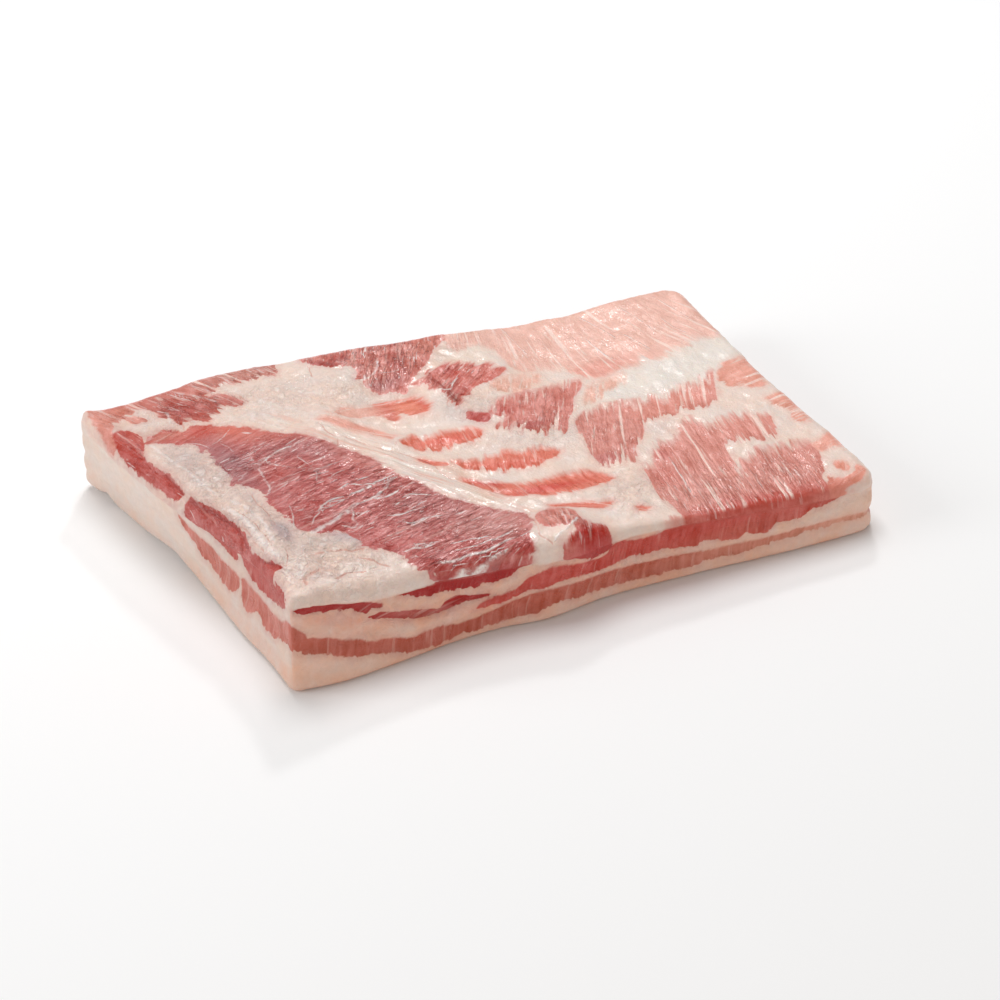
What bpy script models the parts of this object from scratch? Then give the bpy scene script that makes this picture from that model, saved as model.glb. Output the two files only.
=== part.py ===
"""A raw, skinless pork belly slab: one block of belly with its cut faces, swelling top and flat fat underside.

Metres, +Z up. The slab lies on its fat side, with the lean side up. +X runs along its length towards
the thin end, and +Y from the front cut to the back cut. The origin is under the middle of the slab's
bounding box, on the surface that it rests on.

Places below are given from the foot of the thick front corner, and the slab is centred at the very end.
"""

import math

import bmesh
import bpy
import numpy as np
from mathutils import Vector, noise

NODE = "pork_belly_slab"

# Cells of the mesh: along the length, across the width, down the cut faces and in under the slab.
LENGTH_CELLS = 52
WIDTH_CELLS = 33
FACE_RINGS = 8
UNDERSIDE_RINGS = 2

# How much narrower the cells next to a rim are than the mean cell, as a share, and how strongly
# the rings of the cut faces crowd towards the foot.
RIM_CROWDING = 0.62
FOOT_CROWDING = 1.6

# The lean side's rim, seen from above: (x, y) along each cut.
TOP_FRONT = (
    (0.001, 0.000), (0.040, 0.001), (0.080, 0.003), (0.118, 0.001), (0.150, -0.004),
    (0.172, 0.000), (0.218, -0.001), (0.260, -0.003), (0.292, -0.005), (0.323, -0.005),
)
TOP_BACK = (
    (-0.036, 0.208), (0.000, 0.208), (0.040, 0.208), (0.085, 0.206), (0.112, 0.208),
    (0.150, 0.206), (0.195, 0.205), (0.240, 0.204), (0.285, 0.205), (0.320, 0.204),
)
TOP_LEFT = (
    (0.001, 0.000), (0.002, 0.030), (-0.001, 0.056), (-0.006, 0.078), (-0.013, 0.100),
    (-0.020, 0.124), (-0.026, 0.150), (-0.031, 0.176), (-0.036, 0.208),
)
TOP_RIGHT = (
    (0.323, -0.005), (0.3225, 0.040), (0.3195, 0.080), (0.3185, 0.103), (0.319, 0.140),
    (0.319, 0.175), (0.320, 0.204),
)

# The underside's rim.
FOOT_FRONT = (
    (-0.001, -0.003), (0.023, -0.006), (0.055, -0.004), (0.088, -0.001), (0.110, -0.001),
    (0.130, -0.004), (0.165, -0.001), (0.220, -0.003), (0.277, -0.007), (0.322, -0.008),
)
FOOT_BACK = (
    (-0.037, 0.209), (0.010, 0.208), (0.060, 0.206), (0.120, 0.207), (0.180, 0.204),
    (0.240, 0.203), (0.290, 0.203), (0.318, 0.204),
)
FOOT_LEFT = (
    (-0.001, -0.003), (-0.0035, 0.027), (-0.007, 0.050), (-0.009, 0.074), (-0.011, 0.099),
    (-0.0145, 0.122), (-0.020, 0.145), (-0.024, 0.165), (-0.029, 0.186), (-0.037, 0.209),
)
FOOT_RIGHT = (
    (0.322, -0.008), (0.321, 0.050), (0.317, 0.100), (0.317, 0.150), (0.318, 0.204),
)

# Thickness of the slab along the front and back cuts: (x, z).
FRONT_HEIGHTS = (
    (-0.020, 0.0530), (0.000, 0.0530), (0.022, 0.0510), (0.045, 0.0470), (0.080, 0.0450), (0.120, 0.0435),
    (0.152, 0.0405), (0.175, 0.0385), (0.200, 0.0360), (0.240, 0.0330), (0.280, 0.0315), (0.330, 0.0320),
)
BACK_HEIGHTS = (
    (-0.036, 0.0485), (0.000, 0.0480), (0.036, 0.0503), (0.064, 0.0500), (0.092, 0.0488), (0.114, 0.0453),
    (0.149, 0.0443), (0.171, 0.0435), (0.193, 0.0410), (0.220, 0.0385), (0.245, 0.0378), (0.280, 0.0390),
    (0.330, 0.0375),
)

# Radius of the rounded rim above each cut, which changes along it: (place along it, radius).
FRONT_ROUND = ((0.00, 0.0030), (0.12, 0.0030), (0.22, 0.0075), (0.44, 0.0080), (0.56, 0.0035), (1.00, 0.0060))
RIGHT_ROUND = ((0.00, 0.0080), (0.50, 0.0070), (1.00, 0.0060))
BACK_ROUND = ((0.00, 0.0060), (0.50, 0.0060), (1.00, 0.0060))
LEFT_ROUND = ((0.00, 0.0050), (0.30, 0.0090), (0.80, 0.0080), (1.00, 0.0080))
FOOT_ROUND = 0.0030

# Plan radius of the four upright corners, by the end of the length and the side of the width.
CORNER_ROUND = {(0, 0): 0.0035, (1, 0): 0.0110, (0, 1): 0.0050, (1, 1): 0.0120}

# Low swells and hollows of the lean side: (x, y, half length, half width, turn in degrees, rise).
SWELLS = (
    (0.052, 0.085, 0.060, 0.036, 118, 0.0026),    # the big dark muscle
    (0.075, 0.140, 0.012, 0.080, -35, 0.0022),    # fat ridge beside it
    (0.108, 0.030, 0.050, 0.016, 10, -0.0012),    # trough where that muscle runs out
    (0.151, 0.008, 0.015, 0.015, 0, 0.0042),      # knob of meat at the front cut
    (0.125, 0.178, 0.034, 0.018, -20, 0.0016),    # scored patch by the back cut
    (0.240, 0.060, 0.060, 0.040, 0, 0.0018),      # streaky muscle at the thin end
    (0.232, 0.155, 0.080, 0.022, 12, -0.0012),    # dip in the pale end
)

# Beds that the ribs left: parallel shallow valleys between low fingers of meat.
RIB_BED_START = (0.156, 0.060)
RIB_BED_STEP = (-0.015, 0.031)
RIB_BED_COUNT = 4
RIB_BED_LENGTH = 0.036
RIB_BED_WIDTH = 0.0080
RIB_BED_TURN = -16
RIB_BED_DEPTH = 0.0020

# A flap of fat lies over the lean along the left cut, and ends in a lip: (x, y) along that lip.
FLAP_LIP = (
    (0.018, 0.000), (0.008, 0.020), (0.006, 0.045), (0.000, 0.066), (-0.009, 0.092),
    (-0.015, 0.120), (-0.017, 0.150), (0.004, 0.163),
)
FLAP_LIFT = 0.0022
FLAP_LIP_WIDTH = 0.0035

# The underside lifts off the board in shallow scoops along the left cut, and at the far corner:
# (place along the cut, half length, lift).
SCOOPS = ((0.128, 0.022, 0.0030), (0.190, 0.006, 0.0035))
SCOOP_REACH = 0.014
FAR_CORNER_LIFT = 0.0035
FAR_CORNER_REACH = 0.032

# Cut faces: seams between muscle and fat as shallow grooves and swells, and a knife's slow wander.
SEAM_PERIOD = 0.0135
SEAM_RELIEF = 0.0005
CUT_WANDER = 0.0010
CUT_WANDER_SIZE = 0.030

# Fine unevenness of the lean side.
TOP_WANDER = 0.0008
TOP_WANDER_SIZE = 0.022

FAT_COLOUR = (0.74, 0.56, 0.50, 1.0)
ROUGHNESS = 0.42


def smooth_through(knots, values, place):
    """Values read at these places from a smooth curve through the knots."""
    knots, values = np.array(knots, float), np.array(values, float)
    slopes = np.gradient(values, knots, axis=0)
    place = np.clip(np.asarray(place, float), knots[0], knots[-1])
    span = np.clip(np.searchsorted(knots, place, side="right") - 1, 0, len(knots) - 2)
    width = knots[span + 1] - knots[span]
    t = (place - knots[span]) / width
    if values.ndim > 1:
        width, t = width[..., None], t[..., None]
    return (
        (2 * t**3 - 3 * t**2 + 1) * values[span]
        + (t**3 - 2 * t**2 + t) * width * slopes[span]
        + (3 * t**2 - 2 * t**3) * values[span + 1]
        + (t**3 - t**2) * width * slopes[span + 1]
    )


def smooth_course(stations, share):
    """Points at these shares (0 to 1) of a smooth curve through the stations."""
    stations = np.array(stations, float)
    steps = np.linalg.norm(np.diff(stations, axis=0), axis=1)
    return smooth_through(np.concatenate([[0.0], np.cumsum(steps)]) / steps.sum(), stations, share)


def crowded(share):
    """Shares of a side pulled towards both its ends, so that the cells next to a rim are narrow."""
    return share - RIM_CROWDING * np.sin(2 * math.pi * share) / (2 * math.pi)


def spanned(front, back, left, right, u, v):
    """The plan spanned by four courses, at length share u and width share v, with round corners."""
    share_u, share_v = u[..., None], v[..., None]
    along = (1 - share_v) * smooth_course(front, u) + share_v * smooth_course(back, u)
    across = (1 - share_u) * smooth_course(left, v) + share_u * smooth_course(right, v)
    ends = (1 - share_u) * (1 - share_v) * np.array(front[0]) + share_u * (1 - share_v) * np.array(front[-1])
    ends += (1 - share_u) * share_v * np.array(back[0]) + share_u * share_v * np.array(back[-1])
    plan = along + across - ends
    rounded = plan.copy()
    for (end, side), radius in CORNER_ROUND.items():
        length_course = back if side else front
        width_course = right if end else left
        corner = np.array(length_course[-1 if end else 0], float)
        along = np.array(length_course[-2 if end else 1], float) - corner
        across = np.array(width_course[-2 if side else 1], float) - corner
        reach = np.stack([along / np.linalg.norm(along), across / np.linalg.norm(across)], axis=1)
        local = (plan - corner) @ np.linalg.inv(reach).T
        near = (np.abs(u - end) < 0.5) & (np.abs(v - side) < 0.5) & (local < radius).all(axis=-1)
        inward = np.maximum(radius - local, 0.0)
        shrink = inward.max(axis=-1) / np.maximum(np.hypot(inward[..., 0], inward[..., 1]), 1e-9)
        turned = corner + (radius - inward * shrink[..., None]) @ reach.T
        rounded[near] = turned[near]
    return rounded


def turned_bump(x, y, centre, half_length, half_width, turn):
    """A soft oval bump of height 1, turned in plan."""
    c, s = math.cos(math.radians(turn)), math.sin(math.radians(turn))
    along = ((x - centre[0]) * c + (y - centre[1]) * s) / half_length
    across = (-(x - centre[0]) * s + (y - centre[1]) * c) / half_width
    return np.exp(-(along**2 + across**2))


def wander(x, y, z, size):
    """Smooth unevenness between about -1 and 1, with waves of this size."""
    places = np.stack([x, y, z], axis=-1).reshape(-1, 3) / size
    values = [noise.fractal(Vector(place), 1.0, 2.0, 2) for place in places]
    return np.array(values).reshape(np.shape(x))


def flap_cover(x, y):
    """1 where the flap of fat lies over the lean, 0 beyond its lip."""
    lip = smooth_course(FLAP_LIP, np.linspace(0.0, 1.0, 60))
    lip_x = np.interp(y, lip[:, 1], lip[:, 0])
    cover = np.clip(0.5 + (x - lip_x) / FLAP_LIP_WIDTH, 0.0, 1.0)
    fade = np.clip((lip[-1, 1] - y) / 0.02, 0.0, 1.0) * np.clip(1 - (x - lip_x) / 0.06, 0.0, 1.0)
    return cover * fade


def top_height(x, y, v):
    """Thickness of the slab before its rim is rounded."""
    front = smooth_through(*np.array(FRONT_HEIGHTS).T, x)
    back = smooth_through(*np.array(BACK_HEIGHTS).T, x)
    height = (1 - v) * front + v * back
    for centre_x, centre_y, half_length, half_width, turn, rise in SWELLS:
        height += rise * turned_bump(x, y, (centre_x, centre_y), half_length, half_width, turn)
    for bed in range(RIB_BED_COUNT):
        centre = (RIB_BED_START[0] + bed * RIB_BED_STEP[0], RIB_BED_START[1] + bed * RIB_BED_STEP[1])
        height -= RIB_BED_DEPTH * turned_bump(x, y, centre, RIB_BED_LENGTH, RIB_BED_WIDTH, RIB_BED_TURN)
    height += FLAP_LIFT * (flap_cover(x, y) - 1) * np.clip(1 - (x + 0.02) / 0.05, 0.0, 1.0)
    return height + TOP_WANDER * wander(x, y, 0 * x, TOP_WANDER_SIZE)


def rim_round(u, v):
    """Radius of the rounded rim, blended between the cuts by how near each one is."""
    closeness = np.stack([v, 1 - u, 1 - v, u], axis=-1)
    weight = 1.0 / (closeness + 0.02) ** 3
    radii = [
        smooth_through(*np.array(table).T, place)
        for table, place in ((FRONT_ROUND, u), (RIGHT_ROUND, v), (BACK_ROUND, u), (LEFT_ROUND, v))
    ]
    return (weight * np.stack(radii, axis=-1)).sum(axis=-1) / weight.sum(axis=-1)


def lean_side(u, v):
    """The top surface at length share u and width share v."""
    courses = (TOP_FRONT, TOP_BACK, TOP_LEFT, TOP_RIGHT)
    plan = spanned(*courses, u, v)
    rim_u = np.stack([u, np.ones_like(u), u, np.zeros_like(u)])
    rim_v = np.stack([np.zeros_like(v), v, np.ones_like(v), v])
    from_rim = np.linalg.norm(spanned(*courses, rim_u, rim_v) - plan, axis=-1).min(axis=0)
    radius = rim_round(u, v)
    inside = np.clip(from_rim / radius, 0.0, 1.0)
    drop = radius * (1 - np.sqrt(1 - (1 - inside) ** 2))
    height = top_height(plan[..., 0], plan[..., 1], v) - drop
    return np.concatenate([plan, height[..., None]], axis=-1)


def foot_lift(x, y):
    """How far the rim of the underside is clear of the board."""
    from_left = x - np.interp(y, *np.array(FOOT_LEFT).T[::-1])
    near_cut = np.clip(1 - from_left / SCOOP_REACH, 0.0, 1.0) ** 2
    far_x, far_y = FOOT_BACK[0]
    far = np.clip(1 - np.hypot(x - far_x, y - far_y) / FAR_CORNER_REACH, 0.0, 1.0) ** 2
    lift = FAR_CORNER_LIFT * far
    for place, half_length, rise in SCOOPS:
        lift += rise * near_cut * np.exp(-(((y - place) / half_length) ** 2))
    return lift


def outward_from_middle(plan):
    """Unit vectors in plan that point away from the middle of the slab."""
    middle = lean_side(np.full(1, 0.5), np.full(1, 0.5))[0, :2]
    outward = (plan - middle) * np.array([0.6, 1.0])
    return outward / np.linalg.norm(outward, axis=-1, keepdims=True)


def cut_face(u, v, ring_share):
    """The cut faces, at a place on the rim, from the top rim (ring share 0) to the foot (1)."""
    depth = 1 - (1 - ring_share) ** FOOT_CROWDING
    upper = lean_side(u, v)
    lower_plan = spanned(FOOT_FRONT, FOOT_BACK, FOOT_LEFT, FOOT_RIGHT, u, v)
    lower_height = foot_lift(lower_plan[..., 0], lower_plan[..., 1])
    lower = np.concatenate([lower_plan, lower_height[..., None]], axis=-1)
    point = upper + (lower - upper) * depth[..., None]
    middling = np.sin(math.pi * depth)
    seams = SEAM_RELIEF * np.sin(2 * math.pi * point[..., 2] / SEAM_PERIOD) * middling
    uneven = CUT_WANDER * wander(point[..., 0], point[..., 1], point[..., 2], CUT_WANDER_SIZE) * middling
    tuck = np.clip(1 - (point[..., 2] - lower_height) / FOOT_ROUND, 0.0, 1.0)
    tucked = FOOT_ROUND * (1 - np.sqrt(1 - tuck**2))
    point[..., :2] += outward_from_middle(point[..., :2]) * (seams + uneven - tucked)[..., None]
    return point


def underside(u, v, inward):
    """The underside between its rim (inward 0) and its innermost ring (inward 1)."""
    rim = cut_face(u, v, np.ones_like(u))
    middle = lean_side(np.full(1, 0.5), np.full(1, 0.5))[0, :2]
    plan = rim[..., :2] + (middle - rim[..., :2]) * (inward * 0.22)[..., None]
    height = rim[..., 2] * (1 - inward) ** 2
    return np.concatenate([plan, height[..., None]], axis=-1)


def blank():
    """A flat grid with a skirt below its rim and rings turned in under it, in shares of the slab.

    x and y are the length and width shares. z counts rings: down the cut faces, then in under the slab.
    """
    mesh = bmesh.new()
    bmesh.ops.create_grid(mesh, x_segments=LENGTH_CELLS, y_segments=WIDTH_CELLS, size=0.5)
    rim = [edge for edge in mesh.edges if edge.is_boundary]
    for _ in range(FACE_RINGS + UNDERSIDE_RINGS):
        made = bmesh.ops.extrude_edge_only(mesh, edges=rim)["geom"]
        verts = [item for item in made if isinstance(item, bmesh.types.BMVert)]
        bmesh.ops.translate(mesh, verts=verts, vec=(0, 0, -1))
        rim = [item for item in made if isinstance(item, bmesh.types.BMEdge) and item.is_boundary]
    bmesh.ops.contextual_create(mesh, geom=rim)
    bmesh.ops.recalc_face_normals(mesh, faces=mesh.faces)
    return mesh


def shape(mesh):
    """Moves every point of the blank to its place on the slab."""
    shares = np.array([vert.co for vert in mesh.verts])
    u, v = crowded(shares[:, 0] + 0.5), crowded(shares[:, 1] + 0.5)
    ring = np.rint(-shares[:, 2])
    points = lean_side(u, v)
    on_face = (ring > 0) & (ring <= FACE_RINGS)
    points[on_face] = cut_face(u[on_face], v[on_face], ring[on_face] / FACE_RINGS)
    under = ring > FACE_RINGS
    points[under] = underside(u[under], v[under], (ring[under] - FACE_RINGS) / UNDERSIDE_RINGS)
    low, high = points.min(axis=0), points.max(axis=0)
    points -= np.array([(low[0] + high[0]) / 2, (low[1] + high[1]) / 2, low[2]])
    for vert, point in zip(mesh.verts, points):
        vert.co = point


def belly_material():
    material = bpy.data.materials.new("raw_pork_belly")
    material.use_nodes = True
    shader = material.node_tree.nodes["Principled BSDF"]
    shader.inputs["Base Color"].default_value = FAT_COLOUR
    shader.inputs["Roughness"].default_value = ROUGHNESS
    shader.inputs["Metallic"].default_value = 0.0
    return material


def pork_belly_slab():
    mesh = blank()
    shape(mesh)
    data = bpy.data.meshes.new(NODE)
    mesh.to_mesh(data)
    mesh.free()
    data.shade_smooth()
    data.materials.append(belly_material())
    slab = bpy.data.objects.new(NODE, data)
    bpy.context.scene.collection.objects.link(slab)
    return slab


def main():
    for leftover in list(bpy.data.objects):
        bpy.data.objects.remove(leftover)
    pork_belly_slab()


main()
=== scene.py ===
"""The looks of a raw, skinless pork belly slab that lies on its fat side, lean side up.

Places are given in centimetres from the foot of the thick front corner: x along the length towards the
thin end, y from the front cut to the back cut, z up. The finished mesh is moved to the frame's own origin.
"""

import math

import bmesh
import bpy
import numpy as np
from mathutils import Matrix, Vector, noise


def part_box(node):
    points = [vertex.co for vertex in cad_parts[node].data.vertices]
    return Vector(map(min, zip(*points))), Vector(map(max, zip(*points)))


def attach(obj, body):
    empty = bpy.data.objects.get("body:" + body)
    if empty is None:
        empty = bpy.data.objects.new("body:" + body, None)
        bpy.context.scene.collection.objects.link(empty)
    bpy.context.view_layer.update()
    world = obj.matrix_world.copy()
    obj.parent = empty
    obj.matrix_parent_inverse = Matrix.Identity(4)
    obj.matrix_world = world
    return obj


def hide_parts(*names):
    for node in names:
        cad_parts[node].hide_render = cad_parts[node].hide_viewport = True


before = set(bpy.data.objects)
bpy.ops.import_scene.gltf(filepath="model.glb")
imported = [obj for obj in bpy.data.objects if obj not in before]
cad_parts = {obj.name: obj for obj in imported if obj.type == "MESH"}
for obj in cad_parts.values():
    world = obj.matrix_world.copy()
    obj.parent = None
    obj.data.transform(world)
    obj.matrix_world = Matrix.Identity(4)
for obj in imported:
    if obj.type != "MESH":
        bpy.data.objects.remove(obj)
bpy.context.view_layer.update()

NODE = "pork_belly_slab"
CM = 0.01
MM = 0.001

# ---------------------------------------------------------------------------------------------------
# Form of the slab
# ---------------------------------------------------------------------------------------------------

LENGTH_CELLS = 284
WIDTH_CELLS = 166
FACE_RINGS = 36
UNDERSIDE_RINGS = 3
RIM_CROWDING = 0.25
FOOT_CROWDING = 1.25

# The lean side's rim and the underside's rim, seen from above: (x, y) along each cut.
TOP_FRONT = (
    (0.1, 0.0), (4.0, 0.1), (8.0, 0.3), (11.8, 0.1), (15.0, -0.4), (17.2, 0.0), (21.8, -0.1),
    (26.0, -0.3), (29.2, -0.5), (32.3, -0.5),
)
TOP_BACK = (
    (-3.6, 20.8), (0.0, 20.8), (4.0, 20.8), (8.5, 20.6), (11.2, 20.8), (15.0, 20.6), (19.5, 20.5),
    (24.0, 20.4), (28.5, 20.5), (32.0, 20.4),
)
TOP_LEFT = (
    (0.1, 0.0), (0.2, 3.0), (-0.1, 5.6), (-0.6, 7.8), (-1.3, 10.0), (-2.0, 12.4), (-2.6, 15.0),
    (-3.1, 17.6), (-3.6, 20.8),
)
TOP_RIGHT = (
    (32.3, -0.5), (32.25, 4.0), (31.95, 8.0), (31.85, 10.3), (31.9, 14.0), (31.9, 17.5), (32.0, 20.4),
)
FOOT_FRONT = (
    (-0.1, -0.3), (2.3, -0.6), (5.5, -0.4), (8.8, -0.1), (11.0, -0.1), (13.0, -0.4), (16.5, -0.1),
    (22.0, -0.3), (27.7, -0.7), (32.2, -0.8),
)
FOOT_BACK = (
    (-3.7, 20.9), (1.0, 20.8), (6.0, 20.6), (12.0, 20.7), (18.0, 20.4), (24.0, 20.3), (29.0, 20.3),
    (31.8, 20.4),
)
FOOT_LEFT = (
    (-0.1, -0.3), (-0.35, 2.7), (-0.7, 5.0), (-0.9, 7.4), (-1.1, 9.9), (-1.45, 12.2), (-2.0, 14.5),
    (-2.4, 16.5), (-2.9, 18.6), (-3.7, 20.9),
)
FOOT_RIGHT = ((32.2, -0.8), (32.1, 5.0), (31.7, 10.0), (31.7, 15.0), (31.8, 20.4))

# Thickness along the front and back cuts: (x, z).
FRONT_HEIGHTS = (
    (-2.0, 5.3), (0.0, 5.3), (2.2, 5.1), (4.5, 4.7), (8.0, 4.5), (12.0, 4.35), (15.2, 4.05), (17.5, 3.85),
    (20.0, 3.6), (24.0, 3.3), (28.0, 3.15), (33.0, 3.2),
)
BACK_HEIGHTS = (
    (-3.6, 4.85), (0.0, 4.8), (3.6, 5.03), (6.4, 5.0), (9.2, 4.88), (11.4, 4.53), (14.9, 4.43),
    (17.1, 4.35), (19.3, 4.1), (22.0, 3.85), (24.5, 3.78), (28.0, 3.9), (33.0, 3.75),
)

# Radius of the rounded rim above each cut: (share of the way along it, radius).
FRONT_ROUND = ((0.00, 0.40), (0.10, 0.75), (0.22, 0.85), (0.44, 0.85), (0.56, 0.45), (1.00, 0.65))
RIGHT_ROUND = ((0.00, 0.80), (0.50, 0.70), (1.00, 0.60))
BACK_ROUND = ((0.00, 0.60), (0.50, 0.60), (1.00, 0.60))
LEFT_ROUND = ((0.00, 0.50), (0.30, 0.90), (0.80, 0.80), (1.00, 0.80))
FOOT_ROUND = 0.30
RIM_BLEND = 0.02
# Radius of each corner in plan, by (thin end, back cut).
CORNER_ROUND = {(0, 0): 0.35, (1, 0): 1.10, (0, 1): 0.50, (1, 1): 1.20}

# Swells and hollows of the lean side: (x, y, half length, half width, turn in degrees, rise).
SWELLS = (
    (5.2, 8.5, 6.0, 3.6, 118, 0.26),
    (7.5, 14.0, 1.2, 8.0, -35, 0.22),
    (10.8, 3.0, 5.0, 1.6, 10, -0.12),
    (15.1, 0.8, 1.5, 1.5, 0, 0.42),
    (12.5, 17.8, 3.4, 1.8, -20, 0.16),
    (24.0, 6.0, 6.0, 4.0, 0, 0.18),
    (23.2, 15.5, 8.0, 2.2, 12, -0.12),
    (-3.5, 20.6, 0.7, 0.7, 0, 0.28),
    (0.75, 6.2, 2.6, 0.55, 98, 0.10),
    (1.95, 6.6, 2.4, 0.35, 100, -0.09),
)

# Beds that the ribs left between low fingers of meat: (x, y) of each, and their shared shape.
RIB_BEDS = ((15.6, 6.0), (14.1, 9.1), (12.6, 12.2), (11.1, 15.3))
RIB_BED_LENGTH = 3.6
RIB_BED_WIDTH = 0.80
RIB_BED_TURN = -16
RIB_BED_DEPTH = 0.20

# Lip of the flap of fat that lies over the lean along the left cut.
FLAP_LIP = (
    (1.2, 1.2), (0.85, 2.6), (0.35, 4.0), (0.14, 5.4), (0.15, 6.8), (-0.4, 8.6), (-0.95, 10.3),
    (-1.4, 12.8), (-1.9, 14.3), (-1.55, 15.95),
)
LIP_STEPS = 120
FLAP_LIFT = 0.24
FLAP_LIP_WIDTH = 0.16
FLAP_END = 16.4
FLAP_END_FADE = 1.2
FLAP_FADE_FROM = -2.0
FLAP_FADE_LENGTH = 5.0

# Scoops under the left cut: (place along it, half length, lift), and the lift of the far corner.
SCOOPS = ((12.8, 2.2, 0.30), (19.0, 0.6, 0.35))
SCOOP_REACH = 1.4
FAR_CORNER_LIFT = 0.35
FAR_CORNER_REACH = 3.2

# Relief of the cut faces, and fine unevenness of the lean side.
SEAM_PERIOD = 1.35
SEAM_RELIEF = 0.05
CUT_WANDER = 0.10
CUT_WANDER_SIZE = 3.0
TOP_WANDER = 0.08
TOP_WANDER_SIZE = 2.2

# How far in the underside's rings reach, and how much less the length counts in the cuts' outward way.
UNDERSIDE_REACH = 0.22
LENGTH_WEIGHT = 0.6

# Relief of the skin, in centimetres.
LUMP_SIZE = 1.2
LUMP_RISE = 0.025
CRUMPLE_RISE = 0.085
PUCKER_SIZE = 0.45
PUCKER_RISE = 0.02
PUCKER_SHIFT = 40.0
FIBRE_LENGTH = 1.4
FIBRE_STRETCH = 5.0
FIBRE_RISE = 0.016
WRINKLE_RISE = 0.012
RIDGE_SIZE = 0.7
RIDGE_STRETCH = 7.0
RIDGE_RISE = 0.080
FOOT_SMOOTH = 0.85

# Studio and camera, in metres and degrees.
FLOOR_HALF_SIZE = 12.0
FLOOR_GAP = 0.0002
FLOOR_COLOUR = (0.945, 0.95, 0.955)
ROOM_COLOUR = (1.0, 0.985, 0.97)
ROOM_STRENGTH = 0.30
# Name, azimuth, elevation, distance, size, power in watts and colour of each soft light.
LIGHTS = (
    ("overhead", 165, 71, 2.2, 1.1, 25.5, (1.0, 1.0, 1.0)),
    ("back_window", 150, 43, 2.2, 0.20, 8.0, (1.0, 1.0, 1.0)),
    ("side_window", -105, 25, 2.0, 1.0, 14.0, (1.0, 1.0, 1.0)),
    ("warm_bounce", 5, 8, 2.0, 1.0, 8.5, (1.0, 0.82, 0.68)),
)
CAMERA_AIM = (0.0132, -0.0004, 0.0)
CAMERA_AZIMUTH = -25.6
CAMERA_ELEVATION = 34.6
CAMERA_DISTANCE = 1.2422
CAMERA_LENS = 84.8
SENSOR_WIDTH = 36.0


def smooth_through(knots, values, place):
    """Values read at these places from a smooth curve through the knots."""
    knots, values = np.array(knots, float), np.array(values, float)
    slopes = np.gradient(values, knots, axis=0)
    place = np.clip(np.asarray(place, float), knots[0], knots[-1])
    span = np.clip(np.searchsorted(knots, place, side="right") - 1, 0, len(knots) - 2)
    width = knots[span + 1] - knots[span]
    t = (place - knots[span]) / width
    if values.ndim > 1:
        width, t = width[..., None], t[..., None]
    return (
        (2 * t**3 - 3 * t**2 + 1) * values[span]
        + (t**3 - 2 * t**2 + t) * width * slopes[span]
        + (3 * t**2 - 2 * t**3) * values[span + 1]
        + (t**3 - t**2) * width * slopes[span + 1]
    )


def smooth_course(stations, share):
    """Points at these shares (0 to 1) of a smooth curve through the stations."""
    stations = np.array(stations, float)
    steps = np.linalg.norm(np.diff(stations, axis=0), axis=1)
    return smooth_through(np.concatenate([[0.0], np.cumsum(steps)]) / steps.sum(), stations, share)


def smooth_step(value):
    """Eases from 0 to 1 while the value runs from 0 to 1."""
    value = np.clip(value, 0.0, 1.0)
    return value * value * (3 - 2 * value)


def wander(x, y, z, size, octaves=2):
    """Smooth unevenness between about -1 and 1, with waves of this size."""
    places = np.stack([x, y, z], axis=-1).reshape(-1, 3) / size
    values = [noise.fractal(Vector(place), 1.0, 2.0, octaves) for place in places]
    return np.array(values).reshape(np.shape(x))


def crowded(share):
    """Shares of a side pulled towards both its ends."""
    return share - RIM_CROWDING * np.sin(2 * math.pi * share) / (2 * math.pi)


def spanned(front, back, left, right, u, v):
    """The plan spanned by four courses, at length share u and width share v, with round corners."""
    share_u, share_v = u[..., None], v[..., None]
    along = (1 - share_v) * smooth_course(front, u) + share_v * smooth_course(back, u)
    across = (1 - share_u) * smooth_course(left, v) + share_u * smooth_course(right, v)
    ends = (1 - share_u) * (1 - share_v) * np.array(front[0]) + share_u * (1 - share_v) * np.array(front[-1])
    ends += (1 - share_u) * share_v * np.array(back[0]) + share_u * share_v * np.array(back[-1])
    plan = along + across - ends
    rounded = plan.copy()
    for (end, side), radius in CORNER_ROUND.items():
        length_course = back if side else front
        width_course = right if end else left
        corner = np.array(length_course[-1 if end else 0], float)
        along = np.array(length_course[-2 if end else 1], float) - corner
        across = np.array(width_course[-2 if side else 1], float) - corner
        reach = np.stack([along / np.linalg.norm(along), across / np.linalg.norm(across)], axis=1)
        local = (plan - corner) @ np.linalg.inv(reach).T
        near = (np.abs(u - end) < 0.5) & (np.abs(v - side) < 0.5) & (local < radius).all(axis=-1)
        inward = np.maximum(radius - local, 0.0)
        shrink = inward.max(axis=-1) / np.maximum(np.hypot(inward[..., 0], inward[..., 1]), 1e-9)
        turned = corner + (radius - inward * shrink[..., None]) @ reach.T
        rounded[near] = turned[near]
    return rounded


def turned_bump(x, y, centre, half_length, half_width, turn):
    """A soft oval bump of height 1, turned in plan."""
    c, s = math.cos(math.radians(turn)), math.sin(math.radians(turn))
    along = ((x - centre[0]) * c + (y - centre[1]) * s) / half_length
    across = (-(x - centre[0]) * s + (y - centre[1]) * c) / half_width
    return np.exp(-(along**2 + across**2))


def beyond_lip(x, y):
    """How far a place lies inside the lip of the flap of fat, in centimetres, along x."""
    lip = smooth_course(FLAP_LIP, np.linspace(0.0, 1.0, LIP_STEPS))
    return x - np.interp(y, lip[:, 1], lip[:, 0])


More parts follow.
